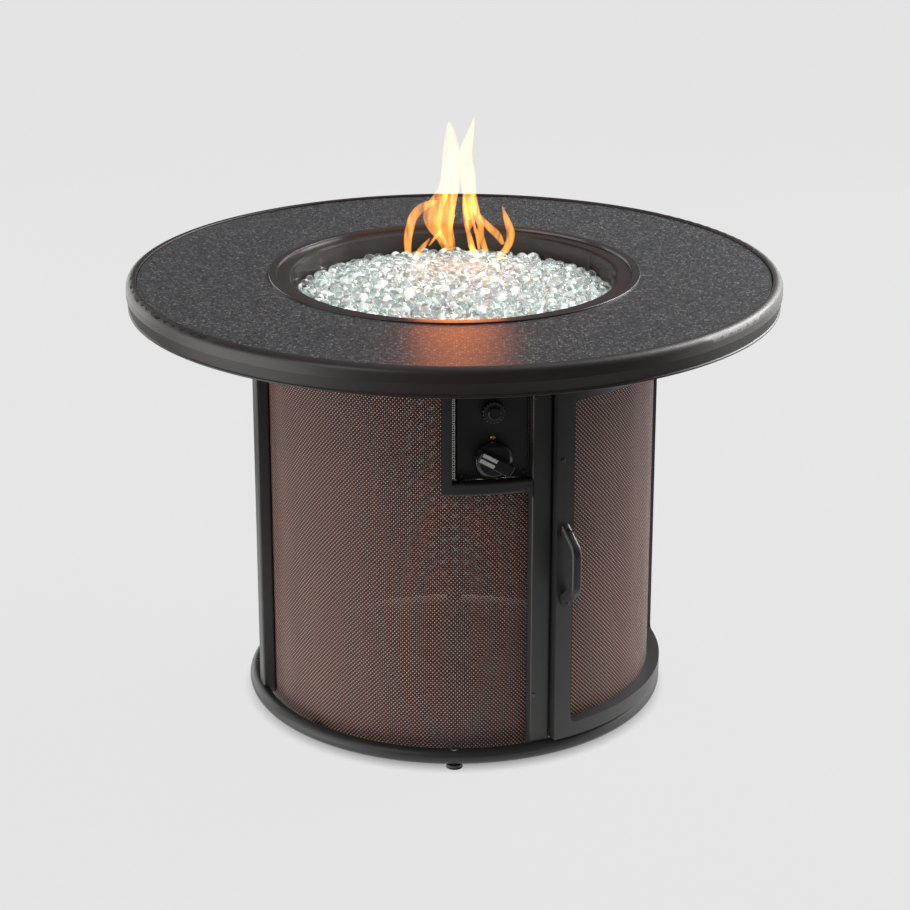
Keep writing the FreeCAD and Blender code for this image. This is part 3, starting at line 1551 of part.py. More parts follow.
sub_parts += make_top()
sub_parts += [make_pan()]
sub_parts += make_burner()
sub_parts += make_glass()
sub_parts += make_spark()
sub_parts += make_base()
sub_parts += make_feet()
sub_parts += make_mesh_skins()
sub_parts += make_control_panel()
sub_parts += make_screws()
sub_parts += make_valve()
sub_parts += make_knob()
sub_parts += make_igniter()
sub_parts += make_door()
sub_parts += make_pivots()
sub_parts += make_catch()
doc.recompute()

problems = []
for item in doc.Objects:
    if "Invalid" in item.State or "Error" in item.State:
        problems.append("%s: %s" % (item.Label, item.State))
for item in sub_parts:
    shape = item.Shape
    if shape.isNull() or not shape.isValid() or not shape.Solids:
        problems.append("%s has no valid solid" % item.Label)
if problems:
    raise RuntimeError("; ".join(problems))

os.makedirs("parts", exist_ok=True)
for item in sub_parts:
    item.Shape.exportStep("parts/%s.step" % item.Label)
print("%d sub-parts written" % len(sub_parts))
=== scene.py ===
"""Looks of the round fire pit table, built on its packed construction model.

The steel, stone, woven and plastic finishes, the loose glass beads, the two light strips painted
on the gas knob as a highlight, the flame and the studio.
"""

import json
import math

import bmesh
import bpy
from bpy.props import FloatProperty, FloatVectorProperty, IntProperty, PointerProperty
from bpy.types import Operator, Panel, PropertyGroup
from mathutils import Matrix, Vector


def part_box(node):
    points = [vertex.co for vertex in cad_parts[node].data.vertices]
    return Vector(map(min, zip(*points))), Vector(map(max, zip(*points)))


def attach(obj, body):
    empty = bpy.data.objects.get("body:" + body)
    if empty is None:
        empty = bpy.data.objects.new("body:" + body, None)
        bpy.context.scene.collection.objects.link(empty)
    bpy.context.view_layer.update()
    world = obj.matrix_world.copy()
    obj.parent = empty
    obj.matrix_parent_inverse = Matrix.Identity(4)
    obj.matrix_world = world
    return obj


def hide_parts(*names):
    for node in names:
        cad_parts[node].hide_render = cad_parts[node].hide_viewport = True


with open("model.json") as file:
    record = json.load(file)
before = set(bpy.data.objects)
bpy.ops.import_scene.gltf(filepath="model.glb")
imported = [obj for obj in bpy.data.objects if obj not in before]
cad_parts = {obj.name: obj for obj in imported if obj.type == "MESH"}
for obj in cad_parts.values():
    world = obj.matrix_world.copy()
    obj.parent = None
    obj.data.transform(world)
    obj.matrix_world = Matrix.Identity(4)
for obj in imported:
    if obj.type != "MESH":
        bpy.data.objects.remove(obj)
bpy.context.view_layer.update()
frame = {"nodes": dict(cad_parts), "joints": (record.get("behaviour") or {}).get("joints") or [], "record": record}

bl_info = {
    "name": "Fire Pit Table",
    "version": (1, 0, 0),
    "blender": (4, 5, 0),
    "location": "3D View > Sidebar > Fire Pit",
    "description": "Finishes, glass beads, knob marks, flame and studio of the fire pit table",
    "category": "Object",
}

BED_LOW, BED_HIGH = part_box("glass_bed")
BED_RADIUS, BED_BOTTOM, BED_TOP = BED_HIGH[0], BED_LOW[2], BED_HIGH[2]
MM = 0.001

# Outer radius of the fixed woven skins, where the yarns round the drum are counted
WEAVE_RADIUS = 238.8 * MM
# How far the mound under the beads stays inside the construction model's bed
BED_SKIN = 0.4 * MM
# Free room round the middle of the spark electrode; the turn from one upper bead to the next
# and how far each leans at most
ELECTRODE_ROOM = 11.7 * MM
GOLDEN_TURN = math.pi * (3 - math.sqrt(5))
BEAD_LEAN = math.radians(14)
# Layers of lower beads, and how many beads a square metre may hold before they are thinned
LOWER_LAYERS = 2
LOWER_DENSITY = 40000.0
# Way that the knob's pointer shows, seen from the front, and its two strips of painted highlight:
# where they start and end, how far they lie from its middle line, half their width, and how they sit in it
POINTER_TURN = math.radians(150)
HIGHLIGHT_START, HIGHLIGHT_END = 1 * MM, 20.3 * MM
HIGHLIGHT_SIDE, HIGHLIGHT_HALF = 3.5 * MM, 2.15 * MM
HIGHLIGHT_SUNK, HIGHLIGHT_PROUD = 0.1 * MM, 0.2 * MM


def length(name, description, default, **more):
    """A size property in metres."""
    return FloatProperty(name=name, description=description, default=default,
                         unit="LENGTH", subtype="DISTANCE", precision=4, **more)


def colour(name, description, default):
    """A linear colour property."""
    return FloatVectorProperty(name=name, description=description, default=default,
                               subtype="COLOR", size=3, min=0, max=1)


def factor(name, description, default, low=0.0, high=1.0):
    """A plain number property."""
    return FloatProperty(name=name, description=description, default=default,
                         min=low, max=high)


class CoatSettings(PropertyGroup):
    """Colours and grain of the table's own finishes."""

    rim: colour("Rim", "Powder coat of the rolled steel rim", (0.020, 0.0118, 0.0100))
    pan: colour("Pan", "Heat-proof coat of the burner pan", (0.034, 0.024, 0.021))
    posts: colour("Posts", "Powder coat of the posts, rings and door", (0.025, 0.0235, 0.0230))
    plate: colour("Plate", "Powder coat of the control plate", (0.009, 0.009, 0.010))
    tile: colour("Tile", "Ground colour of the stone-look tile", (0.0465, 0.0490, 0.0565))
    fleck: colour("Flecks", "Light flecks in the tile", (0.38, 0.37, 0.35))
    yarn: colour("Yarn", "Coated yarn of the woven mesh", (0.118, 0.036, 0.024))
    # Pale colour painted on the upright yarns' crowns as a highlight
    yarn_top: colour("Yarn crowns", "Upright yarns where they lie on top",
                     (0.72, 0.49, 0.41))
    coat_peel: length("Coat peel", "Size of the dimples in the powder coat", 0.0011)
    fleck_size: length("Fleck size", "Distance between the tile's flecks", 0.0031)
    warp_pitch: length("Warp pitch", "Distance between the upright yarns", 0.00245)
    weft_pitch: length("Weft pitch", "Distance between the level yarns", 0.0026)
    hole_share: factor("Hole share", "How much of the weave is open", 0.34)


class GlassSettings(PropertyGroup):
    """The loose beads in the burner pan."""

    bead: length("Bead", "Size of an upper bead", 0.014)
    spacing: length("Spacing", "Distance from upper bead to upper bead", 0.015)
    crown: length("Crown", "Height of the ground under the middle of the upper beads",
                  BED_TOP - 0.0088)
    rise: length("Rise", "How much higher that ground is in the middle", 0.014)
    lower_bead: length("Lower bead", "Size of the beads that fill in between", 0.0118)
    lower_spacing: length("Lower spacing", "Least distance between those", 0.0112)
    layer: length("Layer", "Depth from one layer of beads to the next", 0.0062)
    seed: IntProperty(name="Seed", description="Which scatter of beads is made", default=7)
    tint: colour("Tint", "Colour of the glass", (0.90, 0.98, 0.955))
    # Pale colour of the lower beads, painted light for the glow gathered in the glass below
    ground: colour("Ground", "Beads deeper down, seen through the upper ones",
                   (0.92, 0.98, 0.96))


class FlameSettings(PropertyGroup):
    """The flame over the burner ring, which isn't a piece of the table."""

    back: length("Back", "How far behind the table's middle the flame stands", 0.095)
    deep: length("Depth", "How deep a tongue is from front to back", 0.006)
    slim: factor("Slim", "Share of the tongues' listed widths and places", 0.95, 0.2, 2.0)
    edge: colour("Edge", "Colour of the thin flame", (1.0, 0.36, 0.05))
    strength: FloatProperty(name="Strength", description="Light given off per metre of flame",
                            default=205.0, min=0.0)
    glow: FloatProperty(name="Glow", description="Light thrown to the front", default=0.155,
                        min=0.0, unit="POWER")
    spill: FloatProperty(name="Spill", description="Light thrown all round", default=0.025,
                         min=0.0, unit="POWER")


class StudioSettings(PropertyGroup):
    """Floor, lights and camera."""

    floor: colour("Floor", "Even tone of the floor", (0.783, 0.783, 0.783))
    dim: factor("Dim light", "Light that comes from everywhere", 0.12)
    bright: factor("Bright tent", "White surroundings that the clear glass shows", 1.9,
                   0.0, 4.0)
    distance: length("Distance", "From the table's middle to the camera", 2.8)
    height: length("Height", "Height of the camera", 1.3237)
    side: length("Side", "How far the camera stands to the right", 0.0007)
    pitch: FloatProperty(name="Pitch", description="How far the camera looks down",
                         default=math.radians(17.76), subtype="ANGLE", unit="ROTATION")
    lens: FloatProperty(name="Lens", description="Focal length", default=93.0,
                        subtype="DISTANCE_CAMERA", unit="CAMERA")
    shift: factor("Shift", "Upward shift of the picture", -0.10, -0.2, 0.2)


class Signal:
    """A socket of a node tree; arithmetic on it adds Math nodes."""

    def __init__(self, board, socket):
        self.board = board
        self.socket = socket

    def calc(self, operation, *values):
        return self.board.add("ShaderNodeMath", {"operation": operation},
                              dict(enumerate(values)))

    def __add__(self, other):
        return self.calc("ADD", self, other)

    def __radd__(self, other):
        return self.calc("ADD", other, self)

    def __sub__(self, other):
        return self.calc("SUBTRACT", self, other)

    def __rsub__(self, other):
        return self.calc("SUBTRACT", other, self)

    def __mul__(self, other):
        return self.calc("MULTIPLY", self, other)

    def __rmul__(self, other):
        return self.calc("MULTIPLY", other, self)

    def __truediv__(self, other):
        return self.calc("DIVIDE", self, other)

    def __rtruediv__(self, other):
        return self.calc("DIVIDE", other, self)

    def __gt__(self, other):
        return self.calc("GREATER_THAN", self, other)

    def __lt__(self, other):
        return self.calc("LESS_THAN", self, other)


class Board:
    """A node tree that is wired in plain calls."""

    def __init__(self, tree):
        self.tree = tree

    def add(self, kind, settings=None, inputs=None, output=0):
        """A node of that type, with its settings made first and then its sockets fed."""
        node = self.tree.nodes.new(kind)
        for name, value in (settings or {}).items():
            if name == "stops":
                self.set_stops(node.color_ramp, value)
            else:
                setattr(node, name, value)
        for key, value in (inputs or {}).items():
            for one in value if isinstance(value, list) else [value]:
                if isinstance(one, Signal):
                    self.tree.links.new(one.socket, node.inputs[key])
                else:
                    node.inputs[key].default_value = one
        return Signal(self, node.outputs[output]) if len(node.outputs) else None

    @staticmethod
    def set_stops(ramp, stops):
        """Gives a ramp its stops as pairs of place and grey or colour."""
        while len(ramp.elements) < len(stops):
            ramp.elements.new(1)
        for element, (place, shade) in zip(ramp.elements, stops):
            element.position = place
            element.color = (*shade, 1) if hasattr(shade, "__len__") else (shade,) * 3 + (1,)


class Finish(Board):
    """A material with its own few patterns."""

    def __init__(self, name):
        self.material = bpy.data.materials.new(name)
        self.material.use_nodes = True
        super().__init__(self.material.node_tree)
        self.tree.nodes.clear()
        self.place = self.add("ShaderNodeTexCoord", output=3)

    def noise(self, spacing, detail=2.0, roughness=0.5, vector=None):
        """Soft random pattern with features about that many metres apart."""
        return self.add("ShaderNodeTexNoise", {}, {
            "Vector": vector or self.place, "Scale": 1 / spacing, "Detail": detail,
            "Roughness": roughness})

    def cells(self, spacing, output=0):
        """Random cells; output 0 is the distance to the middle and 1 a random colour."""
        return self.add("ShaderNodeTexVoronoi", {}, {
            "Vector": self.place, "Scale": 1 / spacing}, output)

    def axis(self, index):
        """One coordinate of the place."""
        return self.add("ShaderNodeSeparateXYZ", {}, {0: self.place}, index)

    def steps(self, value, *stops):
        """A value or colour looked up on a ramp."""
        return self.add("ShaderNodeValToRGB", {"stops": stops}, {0: value})

    def between(self, share, low, high):
        """A colour between two others."""
        sockets = {0: share}
        for index, shade in ((6, low), (7, high)):
            sockets[index] = shade if isinstance(shade, Signal) else (*shade, 1)
        return self.add("ShaderNodeMix", {"data_type": "RGBA"}, sockets, 2)

    def bump(self, height, depth):
        """Surface relief of that depth in metres."""
        return self.add("ShaderNodeBump", {}, {
            "Height": height, "Distance": depth, "Strength": 1.0})

    def close(self, **inputs):
        """Ends the material with one surface shader; keys are its sockets' names."""
        sockets = {}
        for key, value in inputs.items():
            name = key.replace("_", " ").title().replace("Ior", "IOR")
            if isinstance(value, tuple) and len(value) == 3:
                value = (*value, 1)
            sockets[name] = value
        shader = self.add("ShaderNodeBsdfPrincipled", {}, sockets)
        self.add("ShaderNodeOutputMaterial", {}, {"Surface": shader})
        return self.material


def lighter(shade, share):
    """The colour moved towards white by that share."""
    return tuple(channel + (1 - channel) * share for channel in shade)


def darker(shade, share):
    """The colour moved towards black by that share."""
    return tuple(channel * (1 - share) for channel in shade)


def powder_coat(name, shade, peel, roughness, gloss=0.5):
    """Baked-on satin coat: fine dimples, slow drift of tone."""
    finish = Finish(name)
    drift = finish.noise(90 * MM, 3.0)
    dimples = finish.noise(peel, 2.0)
    base = finish.between(drift, darker(shade, 0.10), lighter(shade, 0.012))
    return finish.close(
        base_color=base, roughness=roughness - 0.05 + 0.10 * drift,
        specular_ior_level=gloss, normal=finish.bump(dimples, 0.06 * MM))


def stone_tile(coat):
    """Honed dark tile with light, dark and rusty flecks."""
    finish = Finish("stone_tile")
    rusty = (0.24, 0.19, 0.15)
    cloud = finish.noise(30 * MM, 4.0, 0.6)
    grain = finish.noise(coat.fleck_size * 0.9, 3.0, 0.75)
    fleck = finish.cells(coat.fleck_size, 1)
    near = finish.cells(coat.fleck_size, 0)
    pick = finish.add("ShaderNodeSeparateColor", {}, {0: fleck}, 0)
    hue = finish.add("ShaderNodeSeparateColor", {}, {0: fleck}, 1)
    spot = finish.steps(near, (0.20, 1.0), (0.60, 0.0))
    ground = finish.between(finish.steps(grain, (0.38, 0.0), (0.62, 1.0)),
                            darker(coat.tile, 0.80), lighter(coat.tile, 0.060))
    ground = finish.between(cloud * 0.3, ground, coat.tile)
    light = finish.between(hue, coat.fleck, rusty)
    shown = finish.steps(pick, (0.60, 0.0), (0.95, 0.90))
    mixed = finish.between(spot * shown, ground, light)
    mixed = finish.between(spot * (pick < 0.16) * 0.8, mixed, darker(coat.tile, 0.85))
    return finish.close(
        base_color=mixed, roughness=0.28 + 0.14 * grain, specular_ior_level=0.42,
        normal=finish.bump(grain, 0.10 * MM))


def woven_mesh(coat):
    """Coated yarns in plain weave round the drum, with a small hole at every corner, a painted highlight on the
    upright yarns' crowns and painted shade where the level yarns sink.
    """
    finish = Finish("woven_mesh")
    across, along = finish.axis(0), finish.axis(1)
    turn = across.calc("ARCTAN2", across, along)
    # An even count lets the weave close behind the drum
    count = round(math.tau * WEAVE_RADIUS / coat.warp_pitch / 2) * 2
    side = turn * (count / math.tau)
    up = finish.axis(2) / coat.weft_pitch

    def crown(value):
        """1 along the middle of a yarn and 0 between yarns."""
        swing = value.calc("FRACT", value) * 2 - 1
        return 1 - swing * swing

    def wave(value):
        """Swings from yarn to yarn between -1 and 1."""
        turned = value * math.pi
        return turned.calc("SINE", turned)

    warp, weft = crown(side), crown(up)
    over = wave(side) * wave(up)
    warp_height = warp * (0.60 + 0.40 * over)
    weft_height = weft * (0.60 - 0.40 * over)
    top = warp_height.calc("MAXIMUM", warp_height, weft_height)
    # Slow drift that varies both the yarns' wear in roughness and the strength of the painted highlight
    wear_and_sheen = finish.noise(50 * MM, 3.0)
    hole = finish.steps(top, (coat.hole_share, 0.0), (coat.hole_share + 0.12, 1.0))
    lit = finish.steps(over, (0.32, 0.0), (0.90, 1.0))
    # Painted shade: the yarn colour goes far darker where the level yarns sink between and under the others
    shade = finish.between(finish.steps(weft_height, (0.35, 0.0), (0.95, 1.0)),
                           darker(coat.yarn, 0.85), coat.yarn)
    # Painted highlight: the upright yarns' crowns turn pale where they lie on top, stronger or weaker with the
    # slow drift
    shade = finish.between(lit * (0.80 + 0.30 * wear_and_sheen), shade, coat.yarn_top)
    return finish.close(
        base_color=shade, alpha=hole, roughness=0.56 + 0.10 * wear_and_sheen - 0.24 * lit,
        specular_ior_level=0.35, normal=finish.bump(top, 0.6 * MM))


def bare_metal(name, shade, roughness):
    """Turned, drawn or plated metal with faint upright streaks."""
    finish = Finish(name)
    stretch = finish.add("ShaderNodeMapping", {}, {
        "Vector": finish.place, "Scale": (1.0, 1.0, 0.15)})
    streaks = finish.noise(4 * MM, 3.0, 0.6, stretch)
    base = finish.between(streaks, darker(shade, 0.22), shade)
    return finish.close(
        base_color=base, metallic=1.0, roughness=roughness - 0.07 + 0.16 * streaks,
        normal=finish.bump(streaks, 0.03 * MM))


def moulded(name, shade, roughness, grain=0.8 * MM, depth=0.04 * MM, gloss=0.5):
    """Moulded plastic, rubber or ceramic with a fine skin."""
    finish = Finish(name)
    skin = finish.noise(grain, 2.0)
    drift = finish.noise(20 * MM, 2.0)
    base = finish.between(drift, darker(shade, 0.12), lighter(shade, 0.01))
    return finish.close(
        base_color=base, roughness=roughness - 0.04 + 0.08 * drift,
        specular_ior_level=gloss, normal=finish.bump(skin, depth))


def bead_glass(glass):
    """Clear glass with an aqua tint, a little brighter in some beads."""
    finish = Finish("bead_glass")
    drift = finish.noise(18 * MM, 1.0)
    skin = finish.noise(6 * MM, 1.0)
    base = finish.between(drift, darker(glass.tint, 0.06), lighter(glass.tint, 0.5))
    return finish.close(
        base_color=base, roughness=0.01 + 0.03 * drift, ior=1.47,
        transmission_weight=0.94, normal=finish.bump(skin, 1.2 * MM))


def bead_ground(glass):
    """Bright glass of the lower beads and of the mound that they lie on; the opaque pale colour is painted light
    for the glow gathered in the glass below, and each cell is painted lighter in its middle and darker at its edge
    as shade between beads.
    """
    finish = Finish("bead_ground")
    near = finish.cells(9 * MM)
    drift = finish.noise(30 * MM, 2.0)
    # Painted highlight and shade: each cell is lighter in its middle and darker at its edge, like lit beads with
    # shade between them
    base = finish.between(finish.steps(near, (0.15, 0.0), (0.75, 1.0)),
                          lighter(glass.ground, 0.45), darker(glass.ground, 0.25))
    return finish.close(
        base_color=base, roughness=0.22 + 0.12 * drift,
        normal=finish.bump(1 - near, 4 * MM))


def add_object(name, mesh):
    """Puts a mesh in the scene, with its place in its mesh."""
    piece = bpy.data.objects.new(name, mesh)
    bpy.context.scene.collection.objects.link(piece)
    return piece


def mesh_from(name, shape, smooth=True):
    """Turns a bmesh into a mesh with outward faces."""
    bmesh.ops.remove_doubles(shape, verts=shape.verts, dist=1e-6)
    bmesh.ops.recalc_face_normals(shape, faces=shape.faces)
    for face in shape.faces:
        face.smooth = smooth
    mesh = bpy.data.meshes.new(name)
    shape.to_mesh(mesh)
    shape.free()
    return mesh


def baked(piece, name):
    """The plain mesh of a piece as its modifiers leave it; the piece itself goes."""
    graph = bpy.context.evaluated_depsgraph_get()
    mesh = bpy.data.meshes.new_from_object(piece.evaluated_get(graph), depsgraph=graph)
    mesh.name = name
    bpy.data.objects.remove(piece)
    return mesh


class FIREPIT_OT_coat_nodes(Operator):
    """Give every construction node the finish of its material slot"""

    bl_idname = "firepit.coat_nodes"
    bl_label = "Finishes"

    def execute(self, context):
        coat = context.scene.firepit_coat
        peel = coat.coat_peel
        finishes = {
            "rim_steel": powder_coat("rim_coat", coat.rim, peel, 0.44, 0.62),
            "stone": stone_tile(coat),
            "hidden_steel": powder_coat(
                "hidden_coat", darker(coat.posts, 0.2), peel, 0.6),
            "pan_steel": powder_coat("pan_coat", coat.pan, peel, 0.22, 0.6),
            "burner_steel": bare_metal("burner_metal", (0.50, 0.49, 0.47), 0.34),
            "brass_metal": bare_metal("brass_metal", (0.72, 0.55, 0.22), 0.24),
            "bent_aluminium": bare_metal("bent_aluminium", (0.74, 0.74, 0.75), 0.32),
            "white_ceramic": moulded("white_ceramic", (0.80, 0.79, 0.75), 0.18),
            "frame_steel": powder_coat("post_coat", coat.posts, peel, 0.40),
            "handle_steel": powder_coat(
                "handle_coat", darker(coat.posts, 0.2), peel, 0.36),
            "woven_mesh": woven_mesh(coat),
            "black_plastic": moulded("black_plastic", (0.010, 0.010, 0.011), 0.15),
            "foot_plastic": moulded("foot_plastic", (0.022, 0.022, 0.022), 0.5),
            "barrel_plastic": moulded("barrel_plastic", (0.025, 0.025, 0.026), 0.45),
            "lead_rubber": moulded("lead_rubber", (0.06, 0.05, 0.05), 0.55),
            "plated_steel": bare_metal("plated_steel", (0.62, 0.62, 0.60), 0.28),
            "washer_plastic": moulded("washer_plastic", (0.72, 0.71, 0.67), 0.45),
            "dark_screw": bare_metal("dark_screw", (0.10, 0.095, 0.09), 0.35),
        }
        # The glass bed's own solid isn't shown, so any finish does for it
        finishes["clear_glass"] = finishes["white_ceramic"]
        own = {
            "control_plate": powder_coat("plate_coat", coat.plate, peel, 0.45),
            "base_ring": powder_coat(
                "ring_coat", darker(coat.posts, 0.25), peel, 0.45, 0.42),
            "igniter_collar": moulded(
                "collar_plastic", (0.012, 0.012, 0.012), 0.10, gloss=0.9),
        }
        slots = {part["node"]: part["material_slot"]
                 for part in frame["record"]["subparts"]}
        for node, piece in frame["nodes"].items():
            finish = own.get(node) or finishes[slots[node]]
            piece.data.materials.clear()
            piece.data.materials.append(finish)
        return {"FINISHED"}


def turned(name, outline, steps=64):
    """Closed smooth body turned about the upright axis from its half outline, going up."""
    points = [(0, 0, outline[0][1])]
    for radius, height in outline[1:-1]:
        points += [(radius * math.cos(math.tau * step / steps),
                    radius * math.sin(math.tau * step / steps), height)
                   for step in range(steps)]
    points.append((0, 0, outline[-1][1]))
    last = len(points) - 1
    faces = []
    for here in range(steps):
        there = (here + 1) % steps
        faces.append((0, 1 + there, 1 + here))
        for ring in range(1, last - steps, steps):
            faces.append((ring + here, ring + there, ring + steps + there,
                          ring + steps + here))
        faces.append((last - steps + here, last - steps + there, last))
    mesh = bpy.data.meshes.new(name)
    mesh.from_pydata(points, [], faces)
    mesh.shade_smooth()
    return mesh


def bed_mound(glass):
    """Closed mound that the upper beads lie on, with a domed top."""
    dome = (BED_RADIUS ** 2 + glass.rise ** 2) / (2 * glass.rise)
    bottom, edge = BED_BOTTOM + BED_SKIN, BED_RADIUS - BED_SKIN
    outline = [(0.0, bottom), (edge, bottom)]
    for share in (1, 0.96, 0.85, 0.7, 0.5, 0.25, 0):
        radius = edge * share
        drop = dome - math.sqrt(dome ** 2 - radius ** 2)
        outline.append((radius, glass.crown - drop))
    return turned("mound", outline)


class BeadBoard(Board):
    """A geometry tree with the few steps that lay beads."""

    def vector(self, x, y, z):
        """Three values as one vector."""
        return self.add("ShaderNodeCombineXYZ", {}, {0: x, 1: y, 2: z})

    def upright(self, vector):
        """The upright share of a vector."""
        return self.add("ShaderNodeSeparateXYZ", {}, {0: vector}, 2)

    def away_from(self, middle):
        """How far points are from an upright axis."""
        flat = self.add("ShaderNodeVectorMath", {"operation": "MULTIPLY"},
                        {0: self.add("GeometryNodeInputPosition"), 1: (1.0, 1.0, 0.0)})
        return self.add("ShaderNodeVectorMath", {"operation": "DISTANCE"},
                        {0: flat, 1: (*middle, 0.0)}, 1)

    def without(self, points, chosen):
        """The points that aren't chosen."""
        return self.add("GeometryNodeDeleteGeometry", {"domain": "POINT"},
                        {"Geometry": points, "Selection": chosen})

    def varied(self, kind, low, high, seed, output=0):
        """A random number or vector for each point."""
        keys = (0, 1) if kind == "FLOAT_VECTOR" else (2, 3)
        return self.add("FunctionNodeRandomValue", {"data_type": kind},
                        {keys[0]: low, keys[1]: high, "Seed": seed}, output)

    def balls(self, points, size, rotation, scale):
        """A small ball of few faces at each point."""
        ball = self.add("GeometryNodeMeshIcoSphere", {},
                        {"Radius": size * 0.5, "Subdivisions": 2})
        ball = self.add("GeometryNodeSetShadeSmooth", {}, {"Geometry": ball})
        return self.add("GeometryNodeInstanceOnPoints", {}, {
            "Points": points, "Instance": ball, "Rotation": rotation, "Scale": scale})

    def joined(self, *shapes):
        """Several shapes as one."""
        return self.add("GeometryNodeJoinGeometry", {}, {0: list(shapes)})

    def realized(self, *shapes):
        """Several sets of balls as one plain mesh."""
        return self.add("GeometryNodeRealizeInstances", {}, {0: self.joined(*shapes)})

    def coated(self, shape, material):
        """The shape with its material."""
        return self.add("GeometryNodeSetMaterial", {},
                        {"Geometry": shape, "Material": material})


def upper_beads(board, bead, spacing, crown, rise):
    """Upper beads on the spiral of the construction model's bed, each a little different."""
    index = board.add("GeometryNodeInputIndex") + 1

    def wave(pace, count=index, kind="SINE"):
        """Swings at its own pace from bead to bead, so that no two lie alike."""
        value = count * pace
        return value.calc(kind, value)

    step = spacing * math.sqrt(math.sqrt(3) / math.tau)
    radius = step * index.calc("SQRT", index)
    dome = (BED_RADIUS ** 2 + rise * rise) / (rise * 2)
    under = dome * dome - radius * radius
    lift = crown - dome + under.calc("SQRT", under)
    stray = spacing * 0.08
    place = board.vector(radius * wave(GOLDEN_TURN, kind="COSINE") + stray * wave(7.3),
                         radius * wave(GOLDEN_TURN) + stray * wave(5.1),
                         lift + bead * (0.15 + 0.075 * index.calc("SINE", index)))
    shares = (BED_RADIUS - bead * 0.6 - stray) / step
    spiral = board.add("GeometryNodePoints", {}, {"Count": shares * shares - 1,
                                                  "Position": place})
    low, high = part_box("spark_electrode")
    rod = ((low[0] + high[0]) / 2, (low[1] + high[1]) / 2)
    spiral = board.without(spiral, board.away_from(rod) < ELECTRODE_ROOM)
    lean = wave(2.3) * BEAD_LEAN
    tilt = board.vector(lean * wave(2.1, kind="COSINE"), lean * wave(2.1), index * 3.3)
    grown = 1 + 0.18 * wave(3.7, index - 1)
    return board.balls(spiral, bead, tilt,
                       board.vector(grown * 1.06, grown * 0.93, grown * 0.74))


def lower_beads(board, mound, bead, spacing, layer, seed, depth):
    """One layer of the beads that fill in between the upper ones."""
    up_facing = board.upright(board.add("GeometryNodeInputNormal")) > 0.5
    points = board.add("GeometryNodeDistributePointsOnFaces",
                       {"distribute_method": "POISSON"},
                       {"Mesh": mound, "Selection": up_facing, "Distance Min": spacing,
                        "Density Max": LOWER_DENSITY, "Seed": seed + depth})
    points = board.without(points, board.away_from((0.0, 0.0)) > BED_RADIUS - bead * 0.55)
    spin = board.varied("FLOAT_VECTOR", (0.0,) * 3, (math.tau,) * 3, seed + 10 + depth)
    stretch = board.varied("FLOAT_VECTOR", (0.86, 0.80, 0.62), (1.10, 1.00, 0.88),
                           seed + 20 + depth)
    shake = board.varied("FLOAT", -3 * MM, 1 * MM, seed + 30 + depth, 1)
    return board.add("GeometryNodeTranslateInstances", {}, {
        "Instances": board.balls(points, bead, spin, stretch),
        "Translation": board.vector(0.0, 0.0, shake - layer * depth),
        "Local Space": False})


def bead_tree(clear, ground):
    """Node tree that lays upper beads on a mound, fills in between them and sinks it."""
    tree = bpy.data.node_groups.new("glass_beads", "GeometryNodeTree")
    face = tree.interface
    face.new_socket("Mound", in_out="INPUT", socket_type="NodeSocketGeometry")
    for name in ("Bead", "Spacing", "Crown", "Rise", "Lower Bead", "Lower Spacing", "Layer"):
        face.new_socket(name, in_out="INPUT", socket_type="NodeSocketFloat")
    face.new_socket("Seed", in_out="INPUT", socket_type="NodeSocketInt")
    face.new_socket("Beads", in_out="OUTPUT", socket_type="NodeSocketGeometry")
    board = BeadBoard(tree)
    entry = tree.nodes.new("NodeGroupInput")
    mound, bead, spacing, crown, rise, lower_bead, lower_spacing, layer, seed = (
        Signal(board, socket) for socket in entry.outputs[:9])
    upper = board.realized(upper_beads(board, bead, spacing, crown, rise))
    lower = board.realized(*(
        lower_beads(board, mound, lower_bead, lower_spacing, layer, seed, depth)
        for depth in range(LOWER_LAYERS)))
    height = board.upright(board.add("GeometryNodeInputPosition"))
    sunk = board.add("GeometryNodeSetPosition", {}, {
        "Geometry": mound, "Selection": height > BED_BOTTOM + 4 * MM,
        "Offset": board.vector(0.0, 0.0, layer * -1.6)})
    whole = board.joined(board.coated(board.joined(sunk, lower), ground),
                         board.coated(upper, clear))
    end = tree.nodes.new("NodeGroupOutput")
    tree.links.new(whole.socket, end.inputs[0])
    return tree


class FIREPIT_OT_glass_beads(Operator):
    """Fill the burner pan with loose glass beads"""

    bl_idname = "firepit.glass_beads"
    bl_label = "Glass beads"

    def execute(self, context):
        glass = context.scene.firepit_glass
        mound = add_object("mound", bed_mound(glass))
        scatter = mound.modifiers.new("glass_beads", "NODES")
        scatter.node_group = bead_tree(bead_glass(glass), bead_ground(glass))
        for item in scatter.node_group.interface.items_tree:
            if item.in_out == "INPUT" and item.name != "Mound":
                setting = item.name.lower().replace(" ", "_")
                scatter[item.identifier] = getattr(glass, setting)
        beads = add_object("glass_beads", baked(mound, "glass_beads"))
        if not beads.data.polygons:
            raise RuntimeError("no beads were made")
        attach(beads, "base")
        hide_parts("glass_bed")
        return {"FINISHED"}


